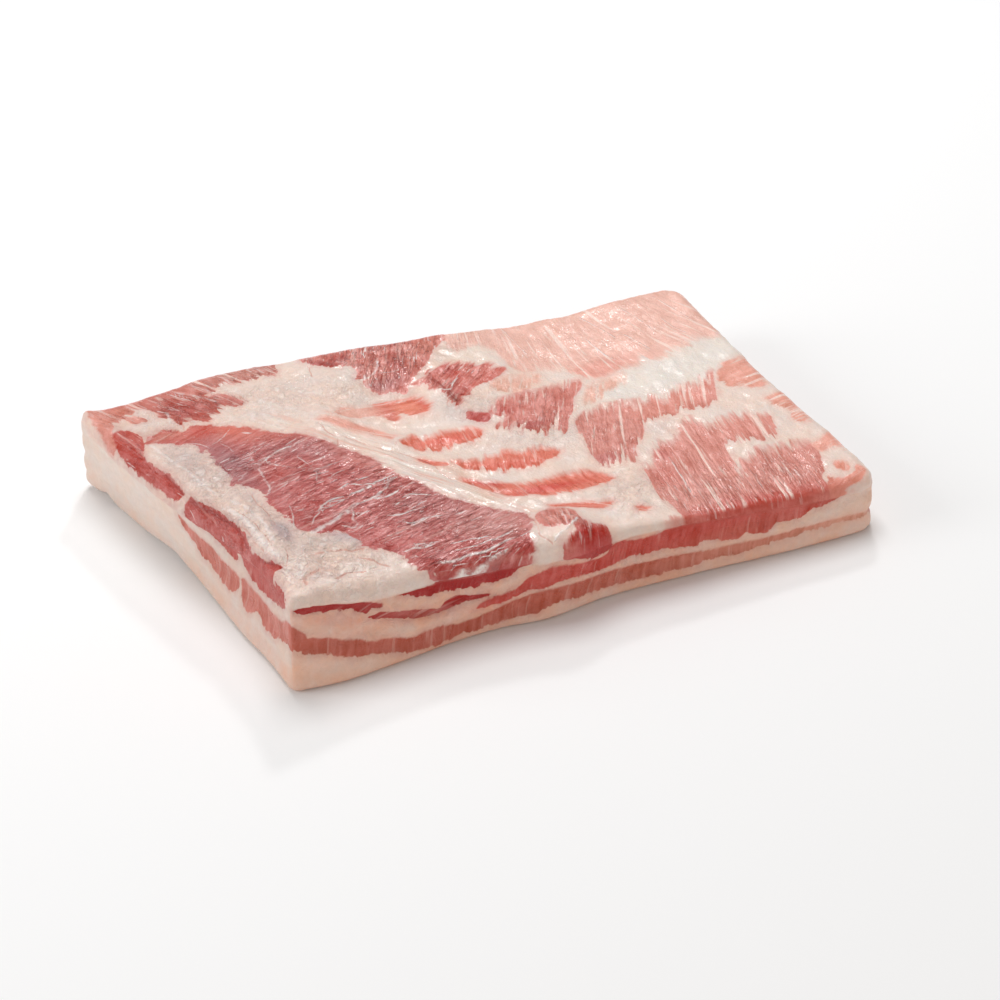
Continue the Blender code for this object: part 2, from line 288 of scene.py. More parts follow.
def top_height(x, y, v):
    """Thickness of the slab before its rim is rounded."""
    front = smooth_through(*np.array(FRONT_HEIGHTS).T, x)
    back = smooth_through(*np.array(BACK_HEIGHTS).T, x)
    height = (1 - v) * front + v * back
    for centre_x, centre_y, half_length, half_width, turn, rise in SWELLS:
        height += rise * turned_bump(x, y, (centre_x, centre_y), half_length, half_width, turn)
    for centre in RIB_BEDS:
        height -= RIB_BED_DEPTH * turned_bump(x, y, centre, RIB_BED_LENGTH, RIB_BED_WIDTH, RIB_BED_TURN)
    inside = beyond_lip(x, y)
    lifted = smooth_step(0.5 + inside / FLAP_LIP_WIDTH)
    lifted *= np.clip((FLAP_END - y) / FLAP_END_FADE, 0.0, 1.0)
    height += FLAP_LIFT * (lifted - 1) * np.clip(1 - (x - FLAP_FADE_FROM) / FLAP_FADE_LENGTH, 0.0, 1.0)
    return height + TOP_WANDER * wander(x, y, 0 * x, TOP_WANDER_SIZE)


def rim_round(u, v):
    """Radius of the rounded rim, blended between the cuts by how near each one is."""
    closeness = np.stack([v, 1 - u, 1 - v, u], axis=-1)
    weight = 1.0 / (closeness + RIM_BLEND) ** 3
    radii = [
        smooth_through(*np.array(table).T, place)
        for table, place in ((FRONT_ROUND, u), (RIGHT_ROUND, v), (BACK_ROUND, u), (LEFT_ROUND, v))
    ]
    return (weight * np.stack(radii, axis=-1)).sum(axis=-1) / weight.sum(axis=-1)


def lean_side(u, v):
    """The top surface at length share u and width share v."""
    courses = (TOP_FRONT, TOP_BACK, TOP_LEFT, TOP_RIGHT)
    plan = spanned(*courses, u, v)
    rim_u = np.stack([u, np.ones_like(u), u, np.zeros_like(u)])
    rim_v = np.stack([np.zeros_like(v), v, np.ones_like(v), v])
    from_rim = np.linalg.norm(spanned(*courses, rim_u, rim_v) - plan, axis=-1).min(axis=0)
    radius = rim_round(u, v)
    inside = np.clip(from_rim / radius, 0.0, 1.0)
    drop = radius * (1 - np.sqrt(1 - (1 - inside) ** 2))
    height = top_height(plan[..., 0], plan[..., 1], v) - drop
    return np.concatenate([plan, height[..., None]], axis=-1)


def foot_lift(x, y):
    """How far the rim of the underside is clear of the board."""
    from_left = x - np.interp(y, *np.array(FOOT_LEFT).T[::-1])
    near_cut = np.clip(1 - from_left / SCOOP_REACH, 0.0, 1.0) ** 2
    far_x, far_y = FOOT_BACK[0]
    far = np.clip(1 - np.hypot(x - far_x, y - far_y) / FAR_CORNER_REACH, 0.0, 1.0) ** 2
    lift = FAR_CORNER_LIFT * far
    for place, half_length, rise in SCOOPS:
        lift += rise * near_cut * np.exp(-(((y - place) / half_length) ** 2))
    return lift


def outward_from_middle(plan):
    """Unit vectors in plan that point away from the middle of the slab."""
    middle = lean_side(np.full(1, 0.5), np.full(1, 0.5))[0, :2]
    outward = (plan - middle) * np.array([LENGTH_WEIGHT, 1.0])
    return outward / np.linalg.norm(outward, axis=-1, keepdims=True)


def cut_face(u, v, ring_share):
    """The cut faces, at a place on the rim, from the top rim (ring share 0) to the foot (1)."""
    depth = 1 - (1 - ring_share) ** FOOT_CROWDING
    upper = lean_side(u, v)
    lower_plan = spanned(FOOT_FRONT, FOOT_BACK, FOOT_LEFT, FOOT_RIGHT, u, v)
    lower_height = foot_lift(lower_plan[..., 0], lower_plan[..., 1])
    lower = np.concatenate([lower_plan, lower_height[..., None]], axis=-1)
    point = upper + (lower - upper) * depth[..., None]
    middling = np.sin(math.pi * depth)
    seams = SEAM_RELIEF * np.sin(2 * math.pi * point[..., 2] / SEAM_PERIOD) * middling
    uneven = CUT_WANDER * wander(point[..., 0], point[..., 1], point[..., 2], CUT_WANDER_SIZE) * middling
    tuck = np.clip(1 - (point[..., 2] - lower_height) / FOOT_ROUND, 0.0, 1.0)
    tucked = FOOT_ROUND * (1 - np.sqrt(1 - tuck**2))
    point[..., :2] += outward_from_middle(point[..., :2]) * (seams + uneven - tucked)[..., None]
    return point


def underside(u, v, inward):
    """The underside between its rim (inward 0) and its innermost ring (inward 1)."""
    rim = cut_face(u, v, np.ones_like(u))
    middle = lean_side(np.full(1, 0.5), np.full(1, 0.5))[0, :2]
    plan = rim[..., :2] + (middle - rim[..., :2]) * (inward * UNDERSIDE_REACH)[..., None]
    height = rim[..., 2] * (1 - inward) ** 2
    return np.concatenate([plan, height[..., None]], axis=-1)


# ---------------------------------------------------------------------------------------------------
# Pattern of lean and fat
# ---------------------------------------------------------------------------------------------------

# Colours of the meat, as linear red, green and blue.
DARK = (0.540, 0.122, 0.110)
VIOLET = (0.37, 0.130, 0.135)
EDGE_RED = (0.475, 0.070, 0.054)
BRIGHT = (0.60, 0.155, 0.115)
DEEP = (0.62, 0.200, 0.160)
ROLLED = (0.635, 0.152, 0.115)
DEEP_ROSE = (0.665, 0.220, 0.177)
ROSE = (0.685, 0.262, 0.212)
CORAL = (0.745, 0.190, 0.126)
BLUSH = (0.81, 0.365, 0.280)
WASH = (0.82, 0.460, 0.360)
PALE = (0.825, 0.480, 0.395)
CLOT = (0.46, 0.038, 0.024)
CUT_DARK = (0.39, 0.010, 0.007)
CUT_RED = (0.54, 0.070, 0.050)
CUT_ROSE = (0.495, 0.114, 0.072)
CUT_PALE = (0.56, 0.155, 0.112)
CREAM = (0.81, 0.645, 0.565)
WHITE_FAT = (0.79, 0.710, 0.645)
GREY_FAT = (0.68, 0.535, 0.485)
# The fat of the front cut, also carried round the thin end's front corner: pinker than the top's, partly its
# own colour and partly painted warm bounce light.
CUT_FAT_AND_WARM_BOUNCE = (0.81, 0.535, 0.425)
SIDE_FAT = (0.745, 0.590, 0.510)


class Meat:
    """A patch of lean: its outline in centimetres, its colour and how its border and grain look."""

    def __init__(self, colour, outline, grain=90, fray=1.0, soft=0.5, marbling=0.3, rise=0.0, fan=None,
                 ragged=1.0):
        self.colour = colour
        self.outline = outline
        self.grain = grain        # direction of the fibres, in degrees from +x (or from the cut's length)
        self.fray = fray          # length of the frayed border along the fibres, in mm
        self.soft = soft          # width of the border's blush, in mm
        self.marbling = marbling  # how much fat streaks the lean, from 0 to 1
        self.rise = rise          # how far the patch stands above the fat round it, in mm
        self.fan = fan            # where the fibres meet, if they spread like a fan
        self.ragged = ragged      # how uneven the border is, in mm


# The patches of the lean side, with (x, y) in each outline. Where two overlap, the deeper one counts.
TOP_MEAT = {
    "back_left": Meat(DEEP, (
        (-2.4, 21.6), (-2.6, 20.4), (-2.1, 19.9), (-1.2, 20.0), (-0.7, 19.6), (-0.35, 19.4), (-0.05, 18.7),
        (0.1, 18.1), (0.5, 17.9), (0.65, 17.1), (1.1, 17.0), (1.6, 16.7), (2.05, 16.2), (2.5, 16.7),
        (3.2, 17.2), (3.9, 17.2), (4.3, 17.5), (3.9, 18.1), (3.6, 18.5), (2.9, 18.8), (3.4, 19.05),
        (4.1, 19.5), (5.1, 19.2), (6.0, 19.3), (6.7, 19.2), (7.1, 19.9), (7.4, 21.6),
    ), grain=118, fray=2.5, soft=0.35, marbling=0.48, rise=0.4),
    "back_left_tip": Meat((0.69, 0.29, 0.23), (
        (-3.3, 21.6), (-3.15, 20.0), (-3.1, 18.6), (-3.05, 17.5), (-2.9, 16.7), (-2.5, 17.3), (-2.55, 17.9),
        (-2.3, 18.6), (-1.7, 18.9), (-1.4, 18.4), (-1.1, 18.05),
        (-0.7, 18.15), (-0.65, 18.5), (-1.1, 18.9), (-1.4, 19.2), (-0.9, 19.4), (-1.3, 20.1), (-2.1, 20.4),
        (-2.5, 21.6),
    ), grain=118, fray=1.5, soft=0.5, marbling=0.3, rise=0.5),
    "dark_muscle": Meat(DARK, (
        (-1.5, 16.0), (-1.2, 16.4), (-0.7, 16.75), (-0.1, 16.9), (0.3, 16.7), (0.6, 16.2), (1.2, 16.4),
        (2.0, 15.95), (2.9, 15.4), (3.7, 14.95), (4.3, 14.3), (5.0, 13.7), (5.7, 13.3), (6.3, 12.5),
        (7.0, 11.7), (8.0, 10.6), (8.6, 9.5), (8.9, 8.4), (9.5, 7.5), (10.1, 6.6), (10.6, 5.6),
        (11.4, 4.85), (12.6, 3.85), (13.7, 3.05), (13.7, 2.2), (13.1, 1.2), (12.8, 0.3), (12.2, -0.6),
        (11.8, -1.6), (7.7, -1.6), (7.9, -0.2), (7.2, 0.55), (6.8, 1.0), (6.4, 2.0), (5.9, 2.5),
        (5.2, 2.95), (5.0, 3.9), (4.4, 4.5), (3.4, 4.7), (2.7, 5.1), (2.45, 6.0), (2.25, 7.3),
        (2.15, 8.7), (1.8, 9.6), (1.3, 10.0), (1.15, 11.3), (1.05, 12.8), (1.0, 14.1), (0.4, 14.8),
        (-0.4, 15.35), (-1.0, 15.8),
    ), grain=18, fray=0.6, soft=0.6, marbling=0.10, rise=0.1, ragged=2.4),
    "left_strip_far": Meat(EDGE_RED, (
        (-1.15, 11.1), (-1.55, 11.2), (-1.95, 12.6), (-2.4, 14.3), (-2.7, 16.0), (-2.85, 17.4), (-2.7, 17.9),
        (-2.2, 18.05), (-1.75, 17.75), (-1.45, 17.0), (-1.4, 16.4), (-1.55, 15.9), (-1.85, 15.0),
        (-1.85, 14.2), (-1.35, 12.7),
    ), grain=105, fray=0.5, soft=0.3, marbling=0.15),
    "left_strip_middle": Meat(EDGE_RED, (
        (-1.05, 10.6), (-1.4, 10.4), (-1.4, 9.0), (-1.2, 7.5), (-0.9, 6.2), (-0.6, 5.5), (-0.3, 5.9),
        (-0.12, 5.2), (0.12, 5.0), (0.16, 6.8), (-0.35, 8.7), (-0.9, 10.2),
    ), grain=100, fray=0.5, soft=0.3, marbling=0.1),
    "left_strip_near": Meat(EDGE_RED, (
        (0.8, 2.65), (0.45, 3.6), (0.2, 4.7), (0.08, 5.2), (-0.3, 4.7), (-0.6, 5.2), (-0.9, 4.6),
        (-0.7, 3.0), (-0.4, 1.4), (0.0, 0.5), (0.2, 0.7), (0.28, 1.6), (0.32, 2.5),
    ), grain=100, fray=0.5, soft=0.3, marbling=0.1),
    "scored": Meat((0.68, 0.215, 0.174), (
        (8.4, 21.6), (8.5, 20.2), (8.8, 19.5), (9.5, 19.0), (10.1, 18.6), (11.0, 18.3), (10.9, 17.7),
        (10.6, 17.2), (11.1, 17.3), (10.9, 16.8), (11.0, 16.3), (11.4, 15.9), (12.2, 15.75), (12.8, 15.4),
        (13.1, 15.9), (13.6, 16.3), (14.0, 16.8), (14.8, 17.5), (15.4, 18.2), (16.1, 19.0), (16.9, 19.6),
        (17.3, 20.2), (17.5, 21.6),
    ), grain=63, fray=1.2, soft=0.3, marbling=0.12, rise=0.5),
    "rolled": Meat(ROLLED, (
        (13.1, 15.9), (14.1, 16.3), (14.6, 16.9), (15.1, 16.95), (15.8, 17.2), (16.5, 17.15), (17.1, 16.75),
        (18.2, 16.5), (18.0, 16.1), (18.8, 15.9), (18.3, 15.4), (17.6, 15.0), (16.8, 14.8), (16.1, 14.4),
        (15.8, 14.0), (15.3, 14.1), (15.1, 13.4), (14.8, 13.3), (14.75, 13.9), (14.55, 14.7), (14.2, 15.4),
        (13.8, 15.7),
    ), grain=42, fray=2.6, soft=0.5, marbling=0.2, rise=0.4),
    "finger_1_tail": Meat(BLUSH, (
        (7.1, 14.1), (7.6, 14.25), (8.2, 14.0), (8.8, 13.5), (9.4, 13.0), (9.9, 12.5), (10.2, 11.9),
        (10.6, 11.6), (10.1, 11.35), (9.7, 11.8), (9.2, 12.4), (8.5, 12.9), (8.0, 13.2), (7.6, 13.7),
    ), grain=140, fray=1.0, soft=1.5, marbling=0.3),
    "finger_1": Meat(CORAL, (
        (8.3, 14.4), (8.8, 14.8), (9.4, 14.7), (10.0, 14.6), (10.6, 15.0), (11.2, 15.2), (12.1, 15.2),
        (12.9, 15.1), (13.4, 14.7), (13.5, 14.0), (13.2, 13.4), (12.6, 13.2), (12.0, 13.3), (11.6, 13.6),
        (11.2, 13.1), (10.8, 13.5), (10.2, 13.8), (9.4, 13.8), (8.7, 14.0),
    ), grain=8, fray=2.0, soft=0.9, marbling=0.35, rise=-0.3),
    "finger_2": Meat(CORAL, (
        (10.4, 11.0), (10.9, 11.2), (11.3, 11.45), (11.8, 11.2), (12.4, 11.15), (12.9, 11.3), (13.5, 11.25),
        (14.1, 11.35), (14.6, 11.2), (14.95, 10.8), (14.8, 10.3), (14.2, 10.1), (13.4, 9.95), (12.6, 9.9),
        (11.9, 9.8), (11.2, 10.05), (10.8, 10.5),
    ), grain=84, fray=2.4, soft=1.0, marbling=0.3, rise=-0.4),
    "finger_2_fleck": Meat(CORAL, (
        (10.7, 9.3), (11.1, 9.05), (11.6, 8.6), (12.0, 8.2), (11.5, 8.25), (11.0, 8.6), (10.7, 8.9),
    ), grain=130, fray=1.0, soft=0.8, marbling=0.2, rise=-0.2),
    "finger_3": Meat(CORAL, (
        (12.1, 8.35), (12.6, 8.3), (13.2, 8.1), (13.8, 8.3), (14.2, 8.5), (14.7, 8.25), (15.2, 8.5),
        (15.7, 8.15), (16.2, 8.2), (16.9, 8.3), (17.5, 8.0), (17.9, 7.6), (17.6, 7.15), (16.8, 6.85),
        (15.8, 6.8), (15.0, 6.8), (14.2, 7.0), (13.4, 7.3), (12.7, 7.65),
    ), grain=72, fray=2.6, soft=1.0, marbling=0.3, rise=-0.4),
    "finger_4": Meat(CORAL, (
        (11.9, 6.95), (12.6, 6.55), (13.4, 6.1), (14.2, 5.75), (15.0, 5.45), (16.0, 5.6), (17.0, 5.7),
        (18.0, 5.55), (18.8, 5.25), (19.2, 4.75), (19.3, 4.3), (18.5, 4.1), (17.6, 3.95), (16.8, 3.85),
        (16.0, 4.0), (15.2, 4.15), (14.7, 4.45), (14.1, 4.45), (13.5, 4.75), (12.9, 5.4), (12.4, 6.1),
    ), grain=100, fray=1.4, soft=1.1, marbling=0.15, rise=-0.4),
    "finger_5": Meat(CORAL, (
        (15.1, 3.3), (15.6, 3.15), (16.3, 3.0), (17.0, 2.9), (17.5, 2.55), (18.3, 2.5), (18.0, 2.2),
        (17.2, 2.15), (16.6, 2.4), (15.9, 2.75), (15.2, 2.95),
    ), grain=150, fray=1.0, soft=1.3, marbling=0.35),
    "fleck_5": Meat(CORAL, (
        (19.1, 1.65), (19.6, 1.6), (19.95, 1.4), (19.6, 1.2), (19.2, 1.35),
    ), grain=150, fray=1.0, soft=0.9, marbling=0.3),
    "clot": Meat(CLOT, (
        (14.6, 12.1), (14.9, 12.5), (15.15, 12.6), (15.4, 12.25), (15.8, 12.15), (16.05, 12.0),
        (15.95, 11.6), (15.6, 11.35), (15.2, 11.5), (14.95, 11.85),
    ), grain=40, fray=0.8, soft=0.3, marbling=0.1, rise=0.3),
    "fan_upper": Meat(DEEP_ROSE, (
        (16.1, 12.2), (16.6, 12.5), (17.0, 12.9), (17.6, 13.2), (18.2, 13.5), (18.8, 13.6), (19.4, 13.4),
        (20.0, 13.45), (20.7, 13.6), (21.3, 13.6), (21.9, 13.8), (22.2, 13.5), (21.8, 12.8), (21.1, 12.2),
        (20.8, 11.7), (20.5, 11.2), (20.2, 10.8), (19.8, 10.3), (19.5, 9.8), (19.1, 9.2), (18.7, 9.1),
        (18.2, 9.5), (17.8, 9.35), (17.3, 9.6), (16.9, 9.9), (17.1, 10.4), (16.6, 10.3), (16.1, 10.2),
        (15.9, 10.8), (16.5, 11.2), (16.9, 11.5), (16.3, 11.7),
    ), grain=62, fray=5.4, soft=0.5, marbling=0.48, rise=0.05),
    "fan_upper_wash": Meat(WASH, (
        (21.3, 11.2), (21.8, 12.3), (22.3, 12.9), (23.3, 13.1), (24.6, 13.3), (24.2, 12.5), (23.2, 12.2),
        (22.3, 11.6),
    ), grain=62, fray=4.0, soft=2.5, marbling=0.75),
    "fan_upper_streaks": Meat(WASH, (
        (17.2, 14.5), (18.0, 15.1), (19.2, 15.1), (20.3, 14.9), (19.8, 14.1), (19.0, 13.6), (18.0, 13.6),
    ), grain=62, fray=4.0, soft=1.6, marbling=0.75),
    "fan_lower": Meat(ROSE, (
        (20.0, 9.9), (20.7, 10.3), (21.4, 10.5), (22.0, 10.8), (22.7, 10.6), (23.3, 10.55), (23.9, 10.6),
        (24.6, 10.6), (25.1, 10.3), (25.9, 10.5), (26.7, 10.8), (27.3, 10.6), (28.0, 10.9), (28.6, 11.2),
        (29.2, 11.5), (28.8, 10.7), (28.5, 10.0), (28.2, 9.3), (27.8, 8.8), (27.2, 8.5), (26.6, 8.7),
        (26.0, 8.8), (25.5, 8.7), (25.0, 8.4), (24.4, 8.6), (23.8, 8.5), (23.3, 8.3), (22.9, 7.7),
        (22.3, 7.1), (21.7, 6.7), (21.4, 5.9), (21.1, 5.3), (20.7, 5.7), (20.2, 5.4), (19.7, 5.4),
        (19.2, 5.8), (19.3, 6.6), (19.4, 7.3), (19.5, 8.1), (19.7, 9.1),
    ), grain=68, fray=5.4, soft=0.5, marbling=0.48, rise=0.05),
    "wide_muscle": Meat(ROSE, (
        (21.1, 4.7), (21.7, 4.85), (22.1, 5.2), (22.5, 5.9), (23.1, 6.45), (23.6, 6.2), (24.0, 6.3),
        (24.5, 6.9), (25.0, 7.4), (25.6, 7.9), (26.0, 7.4), (26.6, 6.8), (27.2, 6.9), (27.8, 7.0),
        (28.6, 7.3), (29.0, 6.6), (29.8, 6.45), (29.5, 5.7), (29.0, 4.9), (28.3, 4.7), (27.8, 5.2),
        (27.2, 5.0), (26.6, 5.2), (26.2, 4.8), (25.9, 3.6), (25.5, 2.4), (25.9, 2.8), (26.3, 3.3),
        (27.0, 3.55), (27.7, 3.8), (28.4, 3.7), (29.2, 3.8), (29.9, 3.7), (30.5, 3.5), (30.5, 2.7),
        (30.2, 1.9), (29.9, 1.2), (29.4, 0.6), (29.3, -0.4), (29.2, -1.6), (19.9, -1.6), (20.0, -0.1),
        (20.9, 0.1), (21.1, 0.8), (20.95, 1.8), (20.85, 2.6), (20.95, 3.7),
    ), grain=83, fray=4.8, soft=0.5, marbling=0.50, rise=0.05),
    "edge_spot_upper": Meat(BLUSH, (
        (29.1, 10.9), (29.6, 11.5), (30.2, 11.95), (31.0, 12.1), (31.7, 12.2), (33.0, 12.8), (33.0, 10.8),
        (31.8, 10.2), (31.3, 9.3), (30.7, 9.1), (30.0, 9.35), (29.3, 9.8), (29.0, 10.3),
    ), grain=14, fray=2.4, soft=1.2, marbling=0.45),
    "edge_spot_middle": Meat(BLUSH, (
        (30.5, 7.9), (31.1, 8.1), (31.6, 8.3), (32.0, 9.1), (33.0, 9.0), (33.0, 6.4), (31.8, 5.7),
        (31.3, 5.15), (30.7, 5.4), (30.9, 6.1), (30.8, 6.8), (30.6, 7.3),
    ), grain=14, fray=2.0, soft=1.2, marbling=0.5),
    "edge_spot_lower": Meat(BLUSH, (
        (30.4, 3.4), (31.1, 3.5), (31.8, 3.9), (33.0, 4.2), (33.0, 2.9), (31.8, 2.6), (31.2, 2.7),
        (30.6, 2.5), (30.4, 2.9),
    ), grain=20, fray=1.6, soft=1.4, marbling=0.45),
    "edge_ring": Meat((0.84, 0.345, 0.255), (
        (30.5, 1.2), (30.8, 1.4), (31.15, 1.25), (31.2, 0.85), (30.9, 0.55), (30.6, 0.75),
    ), grain=60, fray=0.8, soft=1.0, marbling=0.2),
    "edge_front": Meat((0.84, 0.37, 0.28), (
        (29.2, -0.6), (29.5, 0.3), (29.75, 0.6), (30.0, 0.3), (30.4, 0.12), (30.8, 0.2), (31.2, 0.4),
        (31.5, 0.8), (31.75, 0.6), (31.75, 0.2), (31.4, -0.15), (30.9, -0.35), (30.3, -0.45), (29.8, -0.6),
    ), grain=20, fray=0.8, soft=0.6, marbling=0.2),
    "pale_muscle": Meat(PALE, (
        (16.9, 21.6), (16.9, 19.9), (16.8, 18.7), (17.2, 18.35), (17.9, 18.5), (18.6, 18.4), (19.0, 17.8),
        (19.1, 16.9), (19.2, 16.1), (19.6, 15.5), (20.2, 15.4), (20.8, 15.6), (21.3, 15.2), (22.0, 14.9),
        (22.4, 14.2), (22.9, 13.6), (23.5, 13.4), (24.2, 13.6), (24.8, 13.9), (25.5, 13.8), (26.0, 14.0),
        (26.3, 14.6), (26.8, 13.9), (27.4, 13.9), (28.2, 14.2), (29.0, 14.4), (29.6, 14.7), (30.4, 14.8),
        (31.2, 14.75), (31.8, 14.9), (33.0, 15.4), (33.2, 21.6),
    ), fray=3.0, soft=1.1, marbling=0.50, fan=(22.75, 34.0)),
    "knob": Meat(DEEP, (
        (13.9, 2.4), (14.3, 2.75), (14.9, 2.85), (15.4, 2.75), (15.8, 2.5), (15.95, 2.0), (15.85, 1.3),
        (16.1, 0.8), (16.8, 0.5), (16.9, 0.0), (17.1, -0.5), (16.9, -1.6), (14.2, -1.6), (14.15, -0.2),
        (14.6, 0.1), (15.1, 0.3), (15.0, 0.6), (14.4, 0.8), (13.95, 1.1), (13.8, 1.7),
    ), grain=75, fray=1.2, soft=0.4, marbling=0.25, rise=0.5),
}

# The patches of the cuts: (x, z) along the front and back cuts, (y, z) along the left and right ones.
FRONT_MEAT = {
    "lowest": Meat(CUT_ROSE, (
        (0.5, 2.35), (0.9, 2.9), (1.5, 2.75), (2.0, 2.6), (2.5, 2.3), (3.0, 2.15), (4.0, 1.75), (5.0, 1.6),
        (6.0, 1.2), (7.0, 1.3), (8.0, 1.2), (8.7, 1.05), (9.7, 1.1), (11.0, 1.4), (12.5, 1.78), (14.0, 1.85),
        (16.0, 1.82), (17.5, 1.68), (19.0, 1.55), (21.0, 1.45), (23.0, 1.25), (25.0, 1.22), (27.0, 1.3),
        (28.5, 1.33), (30.0, 1.3), (31.5, 1.2), (33.0, 1.1), (33.0, 0.85), (31.5, 0.95), (30.0, 1.0),
        (28.0, 0.98), (26.0, 0.85), (24.0, 0.7), (22.0, 0.68), (20.0, 0.62), (18.0, 0.7), (16.0, 0.75),
        (14.0, 0.85), (12.5, 0.62), (11.0, 0.52), (9.0, 0.45), (7.5, 0.3), (6.3, 0.38), (5.3, 0.68),
        (4.0, 1.05), (2.8, 1.25), (2.2, 1.55), (1.5, 1.9), (0.7, 2.05),
    ), grain=80, fray=0.5, soft=0.5, marbling=0.10, rise=-0.2, ragged=0.8),
    "corner": Meat(CUT_ROSE, (
        (-0.6, 3.7), (0.15, 3.7), (0.5, 3.4), (0.85, 2.95), (0.95, 2.5), (0.6, 2.3), (0.1, 2.35), (-0.6, 2.4),
    ), grain=80, fray=0.5, soft=0.4, marbling=0.15),
    "middle": Meat(CUT_RED, (
        (9.6, 1.62), (10.0, 1.95), (11.0, 2.05), (11.6, 2.12), (12.0, 2.3), (12.3, 2.7), (12.7, 2.87),
        (13.5, 3.08), (14.4, 3.07), (15.2, 2.97), (16.0, 2.85), (16.5, 2.85), (17.1, 3.28), (17.6, 3.28),
        (18.1, 3.08), (19.0, 3.08), (19.7, 3.1), (20.1, 3.4), (20.3, 4.4), (29.3, 4.2), (29.7, 2.85),
        (29.5, 2.4), (29.0, 2.3), (28.4, 2.28), (27.9, 2.1), (27.4, 1.95), (26.9, 1.9), (26.3, 2.0),
        (25.9, 1.85), (25.5, 1.62), (25.0, 1.65), (24.5, 1.78), (24.0, 1.62), (23.4, 1.65), (22.6, 1.88),
        (22.0, 1.95), (21.6, 1.8), (21.0, 1.9), (20.0, 2.0), (19.0, 2.02), (18.0, 2.1), (17.0, 2.05),
        (16.0, 2.05), (15.0, 2.12), (14.2, 2.15), (13.3, 2.0), (12.5, 2.0), (11.7, 1.8), (10.7, 1.62),
    ), grain=80, fray=0.4, soft=0.4, marbling=0.08, rise=0.3, ragged=0.8),
    "knob": Meat((0.43, 0.035, 0.028), (
        (14.2, 4.9), (14.15, 3.65), (14.5, 3.42), (14.9, 3.3), (15.4, 3.1), (15.9, 2.98), (16.4, 3.0),
        (16.85, 3.15), (16.95, 3.5), (17.1, 4.9),
    ), grain=70, fray=0.6, soft=0.3, marbling=0.05, rise=0.3),
    "under_dark_muscle": Meat(CUT_DARK, (
        (5.6, 3.72), (6.3, 3.8), (7.0, 3.7), (7.7, 3.65), (7.95, 3.95), (8.0, 5.2), (11.9, 5.2), (12.1, 4.1),
        (11.9, 3.4), (11.6, 3.05), (11.0, 2.95), (10.4, 2.88), (9.4, 2.88), (8.7, 3.0), (8.1, 3.1),
        (7.5, 3.12), (6.8, 3.25), (6.2, 3.42),
    ), grain=70, fray=0.8, soft=0.3, marbling=0.05, rise=0.2),
    "upper_left": Meat(CUT_DARK, (
        (0.3, 4.6), (0.55, 4.8), (1.2, 4.62), (1.7, 4.5), (2.2, 4.55), (2.6, 4.4), (3.1, 4.15), (3.6, 4.08),
        (4.0, 3.85), (4.4, 3.68), (4.8, 3.5), (4.65, 3.3), (4.2, 3.4), (3.9, 3.3), (3.55, 3.5), (3.2, 3.75),
        (2.8, 3.82), (2.2, 4.0), (1.5, 4.15), (0.8, 4.25),
    ), grain=20, fray=0.8, soft=0.3, marbling=0.1, rise=-0.3),
    "upper_left_low": Meat(CUT_DARK, (
        (4.0, 3.05), (4.6, 3.1), (5.2, 2.92), (5.9, 2.75), (6.6, 2.55), (7.2, 2.35), (7.7, 2.22),
        (8.1, 2.5), (8.6, 2.65), (9.1, 2.5), (9.8, 2.35), (10.7, 2.15), (9.9, 2.12), (9.2, 2.2),
        (8.5, 2.12), (7.6, 2.02), (6.8, 2.08), (6.0, 2.3), (5.3, 2.5), (4.6, 2.8),
    ), grain=10, fray=0.8, soft=0.3, marbling=0.15, rise=-0.2),
}

LEFT_MEAT = {
    "lowest_near": Meat(CUT_PALE, (
        (-0.6, 3.7), (0.4, 3.75), (0.8, 3.5), (1.3, 3.25), (2.2, 3.1), (3.5, 3.05), (4.6, 3.08), (5.35, 3.1),
        (5.45, 2.6), (5.3, 1.95), (4.9, 1.68), (4.3, 1.72), (3.95, 2.05), (3.3, 1.98), (2.7, 1.78),
        (2.1, 1.8), (1.5, 2.05), (1.0, 2.22), (0.3, 2.32), (-0.6, 2.4),
    ), grain=90, fray=0.6, soft=0.5, marbling=0.10, rise=-0.2),
    "lowest_far": Meat(CUT_PALE, (
        (5.6, 2.9), (6.2, 3.02), (7.2, 3.0), (8.0, 3.15), (9.0, 3.25), (10.0, 3.35), (10.6, 3.6),
        (11.0, 3.75), (10.9, 3.3), (10.3, 3.0), (9.9, 2.6), (9.4, 2.2), (8.6, 2.05), (7.7, 1.92),
        (6.9, 1.7), (6.3, 1.82), (5.8, 2.1),
    ), grain=90, fray=0.6, soft=0.4, marbling=0.10, rise=-0.2),
    "upper_near": Meat(EDGE_RED, (
        (0.1, 5.8), (0.2, 4.8), (0.8, 4.3), (1.3, 4.0), (2.0, 3.72), (2.8, 3.52), (3.8, 3.45), (4.8, 3.5),
        (5.4, 3.7), (5.7, 4.05), (5.35, 4.35), (5.0, 5.8),
    ), grain=90, fray=0.6, soft=0.3, marbling=0.1),
    "upper_far": Meat(EDGE_RED, (
        (5.6, 5.8), (5.75, 4.3), (6.2, 4.2), (6.0, 3.75), (6.4, 3.6), (7.2, 3.7), (8.0, 3.85), (9.0, 4.0),
        (10.0, 4.12), (10.4, 5.8),
    ), grain=90, fray=0.6, soft=0.3, marbling=0.1),
    "upper_end": Meat(EDGE_RED, (
        (11.2, 5.8), (11.3, 4.5), (12.5, 4.35), (14.0, 4.2), (16.0, 4.1), (17.6, 4.05), (18.0, 5.8),
    ), grain=90, fray=0.6, soft=0.3, marbling=0.1),
}

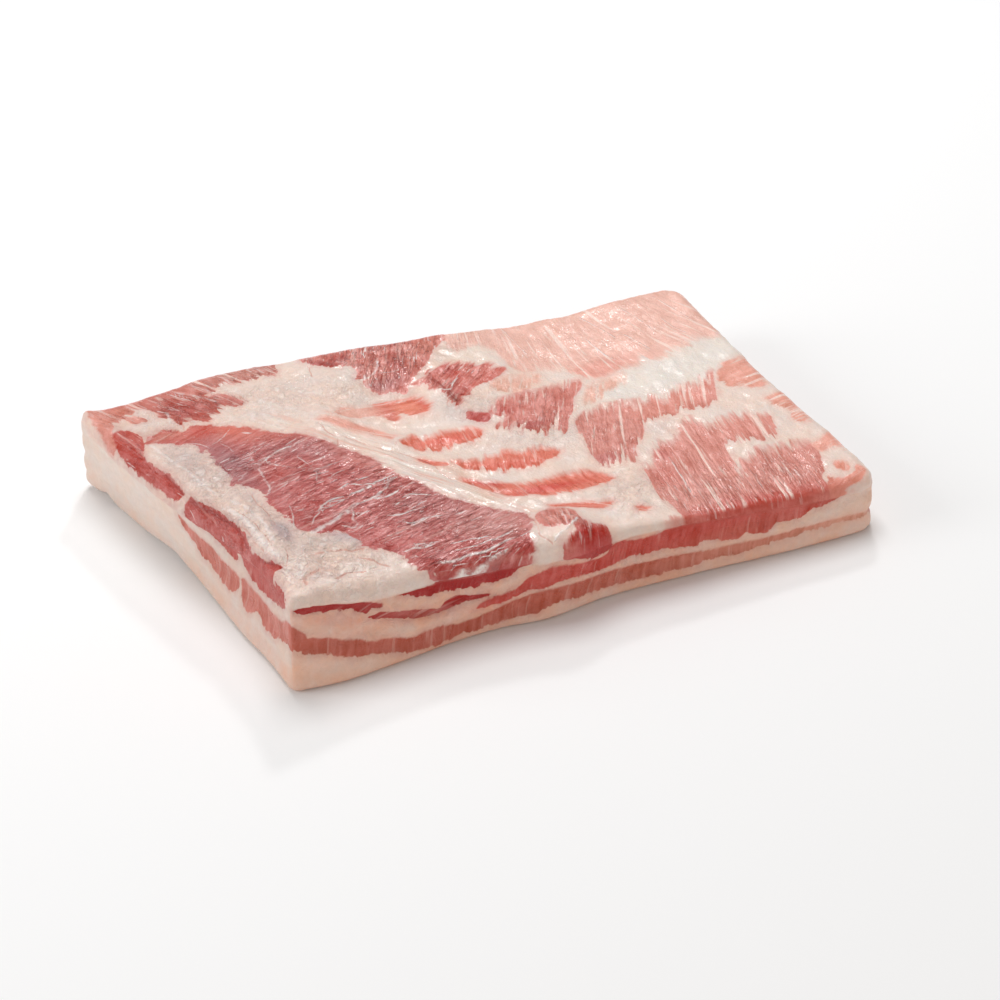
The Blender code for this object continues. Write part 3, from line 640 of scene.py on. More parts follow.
RIGHT_MEAT = {
    "lowest": Meat(CUT_PALE, (
        (-2.0, 1.15), (1.0, 1.2), (4.0, 1.3), (7.0, 1.25), (10.0, 1.4), (13.0, 1.35), (16.0, 1.5),
        (19.0, 1.45), (22.0, 1.5), (22.0, 0.9), (18.0, 0.85), (14.0, 0.75), (10.0, 0.85), (6.0, 0.75),
        (2.0, 0.85), (-2.0, 0.85),
    ), grain=80, fray=0.6, soft=0.5, marbling=0.3, rise=-0.2),
    "middle": Meat(CUT_PALE, (
        (1.6, 2.0), (4.0, 2.2), (7.0, 2.15), (9.5, 2.3), (12.0, 2.2), (15.0, 2.3), (18.0, 2.35), (22.0, 2.5),
        (22.0, 1.9), (18.0, 1.8), (14.0, 1.75), (10.0, 1.8), (6.0, 1.65), (3.0, 1.7),
    ), grain=80, fray=0.6, soft=0.5, marbling=0.35, rise=-0.2),
    "cap_low": Meat(BLUSH, (
        (2.8, 4.6), (2.9, 3.0), (3.6, 2.8), (4.3, 3.0), (4.4, 4.6),
    ), soft=1.2, marbling=0.4),
    "cap_middle": Meat(BLUSH, (
        (5.6, 4.6), (5.9, 3.0), (6.8, 2.7), (7.8, 2.8), (8.8, 2.9), (9.2, 4.6),
    ), soft=1.2, marbling=0.4),
    "cap_upper": Meat(BLUSH, (
        (10.3, 4.6), (10.5, 3.1), (11.3, 2.9), (12.3, 3.1), (12.8, 4.6),
    ), soft=1.2, marbling=0.4),
    "cap_back": Meat(PALE, (
        (15.2, 4.6), (15.5, 3.2), (17.0, 2.95), (19.0, 3.0), (22.0, 3.05), (22.0, 4.6),
    ), soft=1.0, marbling=0.3),
}

BACK_MEAT = {
    "lowest": Meat(CUT_ROSE, (
        (-3.0, 1.45), (-2.2, 1.75), (-0.5, 1.9), (3.0, 1.8), (7.0, 1.95), (11.0, 1.75), (15.0, 1.8),
        (19.0, 1.6), (23.0, 1.5), (28.0, 1.5), (33.0, 1.45), (33.0, 0.9), (28.0, 0.8), (22.0, 0.75),
        (17.0, 0.85), (12.0, 0.75), (7.0, 0.9), (2.0, 0.8), (-1.0, 0.95), (-2.3, 1.1),
    ), grain=80, fray=0.6, soft=0.35, marbling=0.25, rise=-0.2),
    "middle": Meat(CUT_RED, (
        (1.0, 2.6), (4.0, 3.0), (8.0, 3.1), (12.0, 2.9), (16.0, 2.85), (20.0, 2.6), (24.0, 2.5), (29.0, 2.6),
        (33.0, 2.5), (33.0, 1.95), (28.0, 2.0), (23.0, 1.85), (18.0, 2.1), (13.0, 2.1), (8.0, 2.3),
        (4.0, 2.2),
    ), grain=80, fray=0.5, soft=0.3, marbling=0.2, rise=0.2),
    "cap_left": Meat(DEEP, (
        (-4.5, 5.8), (-4.5, 4.0), (-2.0, 3.7), (1.0, 3.6), (4.0, 3.7), (6.5, 3.9), (7.2, 4.2), (7.3, 5.8),
    ), grain=80, fray=0.6, soft=0.3, marbling=0.2),
    "cap_middle": Meat(DEEP, (
        (8.4, 5.8), (8.6, 4.1), (10.0, 3.65), (12.0, 3.5), (15.0, 3.4), (16.9, 3.5), (17.3, 5.6),
    ), grain=80, fray=0.6, soft=0.3, marbling=0.2),
    "cap_right": Meat(PALE, (
        (17.0, 5.4), (17.3, 3.4), (20.0, 3.1), (24.0, 2.95), (28.0, 3.0), (33.0, 3.0), (33.0, 5.0),
    ), grain=80, fray=0.8, soft=0.8, marbling=0.3),
}

# Soft stains of another colour, and a few ovals of painted light or shade where noted: (x, y, half length,
# half width, turn in degrees, strength, colour).
LEAN_STAINS_AND_SHADE = (
    (5.75, 13.0, 0.45, 0.28, -50, 1.0, (0.42, 0.015, 0.010)),
    (2.0, 15.3, 4.2, 1.1, -30, 0.9, BRIGHT),
    (1.5, 15.6, 0.8, 0.5, -20, 0.9, (0.64, 0.10, 0.07)),
    (2.7, 15.1, 1.0, 0.35, -25, 0.8, (0.68, 0.15, 0.10)),
    (-0.4, 16.3, 0.8, 0.4, 0, 0.6, (0.56, 0.19, 0.14)),
    (7.6, 10.4, 3.6, 0.7, -56, 0.6, (0.62, 0.20, 0.16)),
    (1.7, 11.9, 2.8, 0.9, 97, 0.9, VIOLET),
    (5.2, 11.7, 2.2, 1.1, -25, 0.6, (0.45, 0.165, 0.165)),
    (3.6, 6.2, 1.4, 1.6, 0, 0.9, (0.42, 0.055, 0.045)),
    (4.0, 10.2, 1.6, 1.0, 0, 0.8, (0.45, 0.065, 0.050)),
    (5.0, 7.4, 2.0, 0.6, 20, 0.5, (0.50, 0.08, 0.065)),
    (11.8, 2.8, 2.4, 1.6, -20, 0.7, (0.60, 0.265, 0.235)),
    (9.3, 4.8, 2.2, 1.4, -20, 0.5, (0.50, 0.185, 0.175)),
    (1.3, 18.4, 1.3, 0.8, 118, 0.9, (0.44, 0.070, 0.052)),
    (2.2, 17.3, 0.9, 0.5, 40, 0.7, (0.47, 0.09, 0.07)),
    (-1.9, 19.6, 0.9, 0.7, 0, 0.8, (0.70, 0.25, 0.185)),
    (3.4, 17.7, 0.7, 0.4, 0, 0.6, (0.50, 0.11, 0.085)),
    (5.2, 19.8, 2.2, 0.7, 0, 0.9, (0.60, 0.25, 0.20)),
    (9.5, 19.2, 1.1, 0.35, -35, 0.9, (0.42, 0.055, 0.042)),
    (10.6, 19.7, 0.6, 0.4, 0, 0.7, (0.50, 0.08, 0.06)),
    (13.4, 17.9, 1.2, 0.4, 75, 0.8, (0.45, 0.08, 0.06)),
    (12.0, 16.5, 1.1, 0.6, 10, 0.8, (0.45, 0.15, 0.14)),
    (15.6, 19.2, 1.4, 0.9, 50, 0.8, (0.68, 0.24, 0.185)),
    (15.8, 16.4, 0.9, 0.45, 110, 0.9, (0.57, 0.08, 0.055)),
    (14.95, 14.2, 0.8, 0.25, 90, 1.0, (0.26, 0.055, 0.035)),
    # Painted shade: a darker streak in the crease beside the rolled muscle.
    (14.55, 15.6, 0.8, 0.25, 100, 0.8, (0.45, 0.08, 0.055)),
    (15.5, 14.6, 0.5, 0.5, 0, 0.6, (0.48, 0.09, 0.07)),
    (17.6, 16.1, 0.9, 0.6, 0, 0.6, (0.68, 0.22, 0.18)),
    (9.3, 14.3, 1.5, 0.8, 0, 0.8, (0.80, 0.47, 0.38)),
    (11.1, 13.9, 0.35, 0.8, -20, 0.7, (0.62, 0.15, 0.11)),
    (12.3, 14.1, 0.8, 0.7, 0, 0.8, (0.78, 0.22, 0.13)),
    (13.25, 14.3, 0.7, 0.25, 80, 0.8, (0.66, 0.10, 0.06)),
    (12.9, 10.5, 1.4, 0.3, 0, 0.8, (0.72, 0.12, 0.075)),
    (14.9, 7.2, 1.6, 0.3, -8, 0.8, (0.72, 0.13, 0.08)),
    (15.8, 4.7, 1.9, 0.35, 0, 0.9, (0.66, 0.080, 0.055)),
    (13.1, 6.2, 0.7, 0.35, -45, 0.9, (0.60, 0.055, 0.040)),
    (13.4, 5.2, 0.8, 0.5, -30, 0.5, (0.72, 0.15, 0.09)),
    (16.6, 12.0, 0.8, 0.5, 0, 0.7, (0.58, 0.10, 0.08)),
    (17.4, 10.2, 1.0, 0.5, 0, 0.7, (0.47, 0.10, 0.09)),
    (19.8, 6.0, 1.0, 0.5, 0, 0.6, (0.52, 0.13, 0.12)),
    (22.4, 5.3, 0.8, 0.5, 0, 0.6, (0.56, 0.11, 0.09)),
    (22.0, 3.6, 1.0, 0.8, 80, 0.4, (0.60, 0.13, 0.10)),
    (23.6, 14.3, 2.2, 0.8, 10, 0.8, (0.79, 0.33, 0.26)),
    (25.6, 9.8, 3.2, 1.1, 8, 0.6, (0.75, 0.28, 0.215)),
    (28.0, 6.0, 1.8, 1.0, 0, 0.5, (0.72, 0.27, 0.21)),
    (24.8, -0.2, 4.8, 0.9, 0, 1.0, (0.55, 0.090, 0.065)),
    (15.0, 1.5, 1.2, 1.0, 0, 0.8, (0.68, 0.23, 0.18)),
    (15.8, -0.1, 1.5, 0.7, 0, 1.0, (0.48, 0.040, 0.030)),
    (10.2, 0.0, 3.0, 0.9, 0, 1.0, (0.45, 0.050, 0.040)),
)
FAT_STAINS = (
    (-0.1, 13.0, 2.6, 0.9, 97, 0.9, GREY_FAT),
    (1.85, 5.4, 1.1, 0.40, 95, 1.0, (0.50, 0.38, 0.38)),
    (1.65, 8.2, 2.0, 0.35, 95, 0.7, GREY_FAT),
    (3.4, 4.0, 1.5, 0.6, 10, 0.7, (0.70, 0.56, 0.50)),
    (3.4, 1.4, 4.6, 1.3, 0, 0.9, (0.88, 0.72, 0.64)),
    (0.75, 5.2, 2.8, 0.45, 94, 0.8, (0.88, 0.74, 0.67)),
    (18.8, 1.8, 2.2, 1.5, 0, 0.7, (0.87, 0.71, 0.63)),
    (1.8, 1.4, 1.3, 0.6, 20, 0.5, (0.82, 0.56, 0.47)),
    (2.6, 2.2, 1.2, 0.4, -70, 0.4, (0.78, 0.54, 0.46)),
    (27.0, 12.4, 5.5, 1.5, 8, 1.0, WHITE_FAT),
    (31.0, 13.6, 1.8, 1.0, 0, 1.0, WHITE_FAT),
    (17.5, 17.8, 1.5, 0.9, 30, 0.8, (0.79, 0.66, 0.57)),
    (16.3, 18.3, 0.7, 0.5, 40, 0.9, (0.68, 0.52, 0.44)),
    (14.3, 12.8, 0.9, 1.3, 20, 0.7, (0.71, 0.61, 0.57)),
    (15.9, 9.6, 1.2, 0.7, 0, 0.5, (0.72, 0.61, 0.57)),
    (11.8, 12.4, 2.0, 0.6, -10, 0.6, (0.82, 0.68, 0.61)),
    (-0.8, 16.8, 1.2, 0.7, 0, 0.8, (0.68, 0.49, 0.42)),
    (-2.4, 18.3, 0.6, 0.5, 0, 0.8, (0.64, 0.45, 0.38)),
    (12.5, 4.9, 0.9, 0.7, 0, 0.8, (0.76, 0.54, 0.44)),
    (12.3, 7.6, 0.8, 0.6, 0, 0.7, (0.77, 0.56, 0.47)),
    (24.1, 7.5, 0.9, 0.6, 0, 0.7, (0.75, 0.55, 0.48)),
    (12.9, 15.3, 0.5, 0.4, 0, 0.8, (0.60, 0.42, 0.34)),
    (4.7, 4.0, 1.0, 0.30, -40, 0.9, (0.56, 0.44, 0.44)),
)

FRONT_STAINS = (
    (26.0, 1.1, 6.0, 0.5, 0, 0.8, (0.62, 0.23, 0.155)),
    (31.0, 1.1, 3.0, 0.5, 0, 0.9, (0.70, 0.33, 0.235)),
    (24.5, 2.1, 3.5, 0.35, 0, 0.6, (0.58, 0.13, 0.09)),
    (27.5, 3.0, 2.5, 0.5, 0, 0.5, (0.60, 0.17, 0.13)),
    (28.9, 2.6, 0.9, 0.4, 0, 0.9, (0.50, 0.080, 0.055)),
    (25.7, 2.1, 0.9, 0.5, 0, 0.7, (0.52, 0.090, 0.065)),
    (6.6, 2.4, 2.4, 0.5, -25, 0.6, (0.50, 0.14, 0.11)),
)
FRONT_FAT_STAINS_AND_LIGHT = (
    # Partly painted light: the white fat along the front rim is made lighter to stand for the light the
    # rounded rim catches from above.
    (4.5, 4.6, 4.5, 0.45, -4, 1.0, (0.92, 0.78, 0.70)),
    (13.3, 3.8, 0.8, 0.5, 0, 0.9, (0.84, 0.62, 0.53)),
    (3.0, 0.7, 4.0, 0.6, 0, 0.5, (0.82, 0.58, 0.47)),
    (27.0, 1.7, 6.0, 0.5, 0, 0.6, (0.82, 0.60, 0.49)),
    (9.0, 1.8, 4.0, 0.3, -8, 0.6, (0.76, 0.42, 0.33)),
    (32.0, 2.6, 1.6, 1.0, 0, 0.7, (0.80, 0.56, 0.45)),
    (2.4, 3.4, 1.6, 0.3, -18, 0.9, (0.74, 0.40, 0.31)),
    (3.0, 2.6, 1.6, 0.3, -18, 0.7, (0.76, 0.44, 0.34)),
    (18.6, 3.4, 1.6, 0.3, 0, 0.7, (0.80, 0.47, 0.36)),
)
LEFT_STAINS = (
    (1.0, 4.4, 2.0, 0.4, 0, 0.5, (0.42, 0.05, 0.04)),
)
RIGHT_FAT_STAINS = (
    (-1.0, 2.0, 2.2, 6.0, 0, 1.0, CUT_FAT_AND_WARM_BOUNCE),
)
LEFT_FAT_STAINS = (
    (3.0, 0.6, 5.0, 0.7, 0, 0.8, (0.78, 0.52, 0.42)),
    (12.0, 0.5, 9.0, 0.5, 0, 0.7, (0.78, 0.55, 0.45)),
    (14.0, 2.5, 5.0, 2.5, 0, 0.5, (0.82, 0.68, 0.60)),
)

# White strands of membrane, and painted highlights where glossy wrinkles catch the light: (half width in mm,
# strength, points).
STRANDS_AND_PAINTED_GLINTS = (
    (1.00, 0.65, ((0.05, 8.4), (0.50, 7.2), (0.65, 5.9), (0.70, 4.6), (0.90, 3.4))),
    (0.80, 0.65, ((0.60, 8.7), (1.10, 7.4), (1.25, 6.0), (1.20, 4.8))),
    (0.70, 0.55, ((-1.3, 15.6), (-0.9, 14.0), (-0.5, 12.4), (-0.2, 10.9), (0.1, 9.8))),
    (1.00, 0.70, ((3.2, 4.85), (4.0, 5.15), (4.7, 5.5), (5.3, 5.8), (6.1, 6.3))),
    (0.60, 0.75, ((6.1, 6.3), (7.0, 6.5), (7.6, 6.8), (8.1, 7.2), (8.5, 7.7), (8.9, 7.9))),
    (0.45, 0.60, ((5.75, 6.0), (5.6, 5.5), (5.45, 5.2), (5.55, 4.9), (5.3, 4.65), (4.9, 4.85))),
    # From here to the lines along the front rim, mostly painted highlights: glints on the dark muscle's wet
    # wrinkles.
    (0.40, 0.95, ((4.2, 6.45), (4.5, 6.75), (4.9, 7.0), (5.7, 7.1))),
    (0.30, 0.75, ((4.3, 6.35), (4.9, 6.6), (5.8, 6.85))),
    (0.55, 0.95, ((6.2, 7.15), (6.7, 7.25), (7.3, 7.4))),
    (0.40, 0.90, ((6.6, 7.9), (7.0, 7.7), (7.4, 7.65))),
    (0.50, 1.00, ((7.55, 7.6), (7.9, 7.8), (8.3, 8.0))),
    (0.45, 1.00, ((7.2, 6.35), (7.6, 6.3), (8.0, 6.45), (8.4, 6.65))),
    (0.40, 0.95, ((8.6, 6.15), (8.9, 6.25), (9.2, 6.15), (9.7, 5.95))),
    (0.35, 0.80, ((5.9, 5.6), (6.1, 5.5), (6.35, 5.55))),
    (0.40, 0.85, ((7.3, 4.85), (7.7, 4.8), (8.1, 4.85), (8.5, 4.95), (9.0, 4.95))),
    (0.40, 0.95, ((7.8, 4.1), (8.1, 4.0), (8.4, 4.05), (8.8, 4.2))),
    (0.30, 0.70, ((9.1, 4.15), (9.6, 4.1))),
    (0.30, 0.60, ((4.1, 6.2), (3.8, 6.0), (3.6, 5.7), (3.4, 5.4))),
    (0.50, 0.90, ((6.9, 2.1), (7.4, 2.15), (7.7, 2.05), (8.3, 2.1))),
    (0.35, 0.80, ((7.6, 2.4), (8.0, 2.3), (8.6, 2.25))),
    (0.35, 0.80, ((9.3, 1.9), (9.7, 1.85), (10.2, 1.85), (11.0, 1.75))),
    (0.50, 0.90, ((8.0, 0.75), (8.8, 0.7), (9.6, 0.8), (10.4, 0.75), (11.3, 0.9), (12.2, 1.1))),
    (0.55, 0.95, ((7.5, 0.25), (8.2, 0.2), (9.0, 0.3), (9.8, 0.25), (10.6, 0.4), (11.4, 0.5))),
    (0.40, 0.80, ((9.2, 1.3), (10.0, 1.25), (10.8, 1.35), (11.6, 1.5), (12.3, 1.7))),
    (0.30, 0.70, ((2.95, 7.2), (2.9, 6.7), (2.75, 6.2), (2.5, 5.5))),
    (0.30, 0.60, ((3.1, 6.7), (3.5, 6.75))),
    (0.55, 0.65, ((3.3, 11.3), (3.6, 10.95), (4.15, 10.45))),
    (0.45, 0.75, ((3.1, 11.4), (3.6, 11.7), (4.1, 11.95), (4.5, 12.15), (4.9, 12.2))),
    (0.45, 0.60, ((3.1, 11.35), (2.8, 11.0), (2.75, 10.4), (2.65, 9.6), (2.65, 9.0), (2.4, 8.6))),
    (0.35, 0.50, ((2.8, 11.2), (2.3, 11.0), (1.9, 10.7), (1.6, 10.4))),
    (0.35, 0.50, ((3.0, 11.45), (2.5, 11.5), (2.0, 11.3), (1.4, 11.5))),
    (0.30, 0.55, ((4.9, 11.0), (5.1, 10.4), (5.25, 9.8), (5.25, 9.3), (5.0, 8.8))),
    (0.30, 0.55, ((5.1, 9.7), (5.7, 9.75), (6.2, 9.95), (6.9, 10.15))),
    (0.30, 0.45, ((6.0, 9.0), (6.4, 9.25), (7.0, 9.4))),
    (0.30, 0.55, ((1.25, 14.1), (0.9, 14.6), (0.4, 14.9))),
    (0.30, 0.45, ((2.0, 14.0), (2.15, 13.6), (2.15, 13.1))),
    (0.25, 0.50, ((1.7, 14.3), (2.2, 14.6), (2.7, 15.1))),
    (0.50, 0.70, ((3.3, 14.5), (3.5, 14.4))),
    (0.55, 0.50, ((10.9, 17.15), (11.5, 17.35), (12.05, 17.85), (12.35, 18.3))),
    (0.30, 0.35, ((12.3, 17.5), (12.8, 17.4), (13.2, 17.45))),
    (0.45, 0.50, ((1.5, 20.1), (2.1, 19.3), (2.7, 18.6), (3.1, 18.0))),
    (0.35, 0.45, ((2.3, 20.3), (2.8, 19.5), (3.2, 18.9))),
    (0.30, 0.60, ((1.2, 20.0), (1.6, 19.3), (2.0, 18.7))),
    (0.60, 0.55, ((0.35, 17.5), (0.45, 17.9), (0.5, 18.4))),
    (0.60, 0.90, ((14.0, 0.25), (14.5, 0.45), (15.1, 0.75), (15.6, 1.2))),
    (0.35, 0.80, ((14.6, 15.0), (15.1, 14.9), (15.4, 15.3), (15.9, 15.8))),
    (0.30, 0.80, ((22.4, 1.6), (22.6, 2.8), (22.75, 4.0), (22.85, 4.8))),
    (0.30, 0.70, ((24.5, 17.2), (24.6, 16.4), (24.75, 15.6), (24.95, 15.0))),
    (0.25, 0.70, ((25.2, 19.5), (25.5, 18.6), (25.75, 17.7), (26.0, 16.9))),
    (0.25, 0.70, ((26.6, 16.8), (26.9, 16.0), (27.2, 15.1))),
    (0.22, 0.60, ((27.6, 19.3), (27.9, 18.4), (28.2, 17.3), (28.3, 16.7))),
    (0.25, 0.60, ((30.0, 19.5), (30.3, 18.6), (30.6, 17.6), (30.8, 16.7))),
    (0.22, 0.60, ((29.3, 17.4), (29.5, 16.5), (29.8, 15.6))),
    (0.25, 0.60, ((20.55, 19.8), (20.55, 18.8), (20.6, 17.6), (20.7, 17.0))),
)

# Red creases, whose grooves are darkened with painted shade: (half width in mm, depth in mm, points).
CREASES = (
    (0.30, 0.4, ((0.35, 8.1), (0.78, 6.9), (0.95, 5.6), (0.95, 4.4))),
    (0.30, 0.4, ((0.0, 7.3), (0.33, 6.2), (0.38, 5.2), (0.5, 4.4))),
    (0.40, 0.8, ((8.0, 12.2), (8.4, 11.8), (8.9, 11.1))),
    (0.30, 0.5, (
        (8.9, 11.1), (9.4, 10.5), (10.1, 10.0), (10.8, 9.2), (11.2, 8.4), (11.25, 7.7), (11.5, 7.0),
    )),
    (0.50, 0.9, ((10.05, 6.7), (10.25, 6.1), (10.7, 5.4), (11.3, 4.9))),
    (0.40, 0.8, ((12.5, 4.0), (13.1, 3.5), (13.75, 3.0))),
    (0.30, 0.5, ((7.15, 13.6), (7.2, 12.9), (7.5, 12.2), (7.3, 11.6))),
    (0.35, 0.5, ((8.2, 10.2), (8.5, 9.6), (8.9, 9.3))),
    (0.40, 0.8, ((13.7, 3.0), (13.75, 2.2), (13.6, 1.4), (13.4, 0.8), (13.7, 0.2))),
    (0.35, 0.6, ((14.7, 16.6), (14.75, 15.6), (14.9, 14.7), (14.95, 13.8))),
    (0.30, 0.5, ((15.1, 14.9), (15.3, 14.4), (15.6, 14.1))),
    (0.25, 0.4, ((1.1, 12.6), (1.2, 12.0), (1.25, 11.5))),
    (0.80, 0.8, ((0.05, 16.8), (0.2, 16.65), (0.35, 16.5))),
    (0.50, 0.9, ((0.80, 17.0), (0.85, 16.7), (0.75, 16.4))),
    (0.35, 0.6, ((8.75, 19.2), (8.65, 18.7), (8.55, 18.3))),
    (0.30, 0.5, ((4.0, 18.1), (4.15, 17.7), (4.25, 17.3))),
    (0.25, 0.4, ((4.35, 18.0), (4.45, 17.6), (4.55, 17.3))),
    (0.50, 0.6, ((14.3, 13.5), (14.4, 13.75), (14.55, 14.0))),
    (0.70, 0.6, ((2.6, 3.1), (3.4, 3.2), (4.2, 3.05), (5.0, 2.95))),
    (0.70, 0.6, ((1.3, 0.9), (1.5, 1.4), (2.0, 1.7), (2.3, 1.8))),
    (0.60, 0.5, ((2.9, 1.0), (3.6, 1.3), (4.3, 1.2))),
    (0.60, 0.5, ((4.6, 2.2), (5.2, 1.8), (5.6, 1.3))),
    (0.25, 0.4, ((1.0, 2.6), (1.3, 3.2), (1.5, 3.9))),
    # Painted shadow: a dark line along the foot of the flap's lip, where the lip shades the lean.
    (0.40, 0.6, (
        (0.78, 2.6), (0.28, 4.0), (0.08, 5.4), (0.09, 6.8), (-0.46, 8.6), (-1.01, 10.3), (-1.46, 12.8),
    )),
    (0.25, 0.4, ((1.6, 9.8), (1.65, 9.0), (1.6, 8.2), (1.75, 7.3), (1.8, 6.6), (1.75, 6.0))),
)

# Where the lean side is crumpled, wrinkled or streaked along the band of fat, as for the stains, with a
# share of 1 in place of a colour.
CRUMPLED = (
    (0.3, 10.0, 6.5, 1.3, 97, 1.0, 1.0),
    (3.0, 2.6, 3.8, 2.3, 0, 1.0, 1.0),
    (1.8, 5.5, 2.5, 1.0, 95, 1.0, 1.0),
    (2.0, 18.3, 4.0, 0.9, -15, 0.6, 1.0),
    (15.5, 13.5, 1.5, 1.5, 0, 0.8, 1.0),
    (17.5, 9.0, 2.5, 1.5, 0, 0.5, 1.0),
    (19.5, 3.0, 2.0, 2.0, 0, 0.6, 1.0),
    (3.5, 16.0, 4.5, 2.2, -25, 0.35, 1.0),
    (7.5, 17.0, 3.5, 2.0, -20, 0.55, 1.0),
)
WRINKLED = (
    (7.5, 6.5, 5.0, 3.4, -40, 1.0, 1.0),
    (3.2, 12.0, 3.0, 1.6, 0, 0.7, 1.0),
    (10.0, 1.0, 3.4, 1.6, 0, 1.0, 1.0),
    (12.5, 18.6, 4.2, 2.6, 0, 1.0, 1.0),
    (1.6, 18.3, 2.6, 1.6, 0, 0.6, 1.0),
    (5.2, 19.9, 2.6, 0.8, 0, 0.5, 1.0),
    (-1.9, 19.5, 1.3, 1.1, 0, 0.4, 1.0),
    (15.8, 15.8, 2.0, 1.5, 0, 0.5, 1.0),
    (19.0, 11.4, 2.8, 2.0, 0, 0.35, 1.0),
    (21.5, 7.6, 2.4, 2.2, 0, 0.3, 1.0),
    (28.0, 1.5, 2.6, 2.0, 0, 0.4, 1.0),
    (15.2, 1.2, 1.6, 1.4, 0, 0.6, 1.0),
    (-2.1, 15.0, 1.0, 3.0, 10, 0.6, 1.0),
    (-0.8, 7.5, 1.0, 4.5, 10, 0.6, 1.0),
    (23.0, 1.5, 2.4, 2.0, 0, 0.5, 1.0),
)
BANDED = (
    (9.6, 8.6, 7.5, 1.1, -51, 1.0, 1.0),
    (7.2, 14.0, 3.0, 1.3, -55, 0.7, 1.0),
)
# Direction of that band, in degrees. Then the crumples of the front cut and of the underside.
FAT_BAND_TURN = -51
FRONT_CRUMPLED = (
    (4.0, 4.6, 5.0, 0.6, -4, 0.9, 1.0),
    (16.0, 2.5, 16.0, 2.0, 0, 0.35, 1.0),
)
UNDERSIDE_CRUMPLE = 0.5

# Beyond this distance from a border, in mm, the depth of the lean no longer matters.
FAR = 9.0
# How much deeper, in mm, a place lies in one patch than in the next before its fibres start to show,
# and over how much more they reach their full strength.
MEETING = 2.0
MEETING_FADE = 4.0
# Widths, in mm, over which a standing patch rises and over which the relief turns from fat to lean.
PATCH_SLOPE = 2.4
BORDER_SLOPE = 2.0
# Centimetres across the fibres per radian, where the fibres spread like a fan.
FAN_SPREAD = 17.0
# Share of its fray that a border keeps where it runs along the fibres.
SIDE_FRAY = 0.25
# A stain's soft bump is raised by this and cut off at its strength, which gives it an even middle.
STAIN_PLATEAU = 1.25
# Strands and creases: their reach in cm, the spread of a groove in mm, the steps of their curves for
# each station, and the distance that stands for none near.
LINE_REACH = 0.4
GROOVE_SPREAD = 0.9
STEPS_PER_STATION = 6
LINE_FAR = 99.0
# Cells from an edge of the slab at which the fibres start to show, and over which they come in.
EDGE_CELLS = 0.9
EDGE_FADE = 2.5
# A share that is nearer to 0 or 1 than this is on the rim.
ON_RIM = 1e-4


def rounded_outline(points, steps=5):
    """A closed smooth curve through the points, as a many-sided outline."""
    knots = np.array(points, float)
    before, after, beyond = np.roll(knots, 1, 0), np.roll(knots, -1, 0), np.roll(knots, -2, 0)
    t = (np.arange(steps) / steps)[None, :, None]
    p0, p1, p2, p3 = before[:, None], knots[:, None], after[:, None], beyond[:, None]
    tension = 0.40
    m1, m2 = tension * (p2 - p0), tension * (p3 - p1)
    curve = (2 * t**3 - 3 * t**2 + 1) * p1 + (t**3 - 2 * t**2 + t) * m1
    curve += (3 * t**2 - 2 * t**3) * p2 + (t**3 - t**2) * m2
    return curve.reshape(-1, 2)


def nearest_on_chain(starts, ends, places):
    """For each place: its distance to a chain of straight runs, the way to it, and the run's side."""
    best = np.full(len(places), np.inf)
    way = np.zeros((len(places), 2))
    side = np.ones(len(places))
    for start, end in zip(starts, ends):
        run = end - start
        share = np.clip(((places - start) @ run) / max(run @ run, 1e-12), 0.0, 1.0)
        to_run = start + share[:, None] * run - places
        distance = np.hypot(to_run[:, 0], to_run[:, 1])
        nearer = distance < best
        best[nearer] = distance[nearer]
        way[nearer] = to_run[nearer]
        side[nearer] = np.sign(run[0] * to_run[nearer, 1] - run[1] * to_run[nearer, 0])
    return best, way, side


def inside_outline(outline, places):
    """True for the places that lie inside a closed outline."""
    inside = np.zeros(len(places), bool)
    x, y = places[:, 0], places[:, 1]
    for (x0, y0), (x1, y1) in zip(outline, np.roll(outline, -1, 0)):
        if y0 == y1:
            continue
        crosses = ((y0 > y) != (y1 > y)) & (x < (x1 - x0) * (y - y0) / (y1 - y0) + x0)
        inside ^= crosses
    return inside


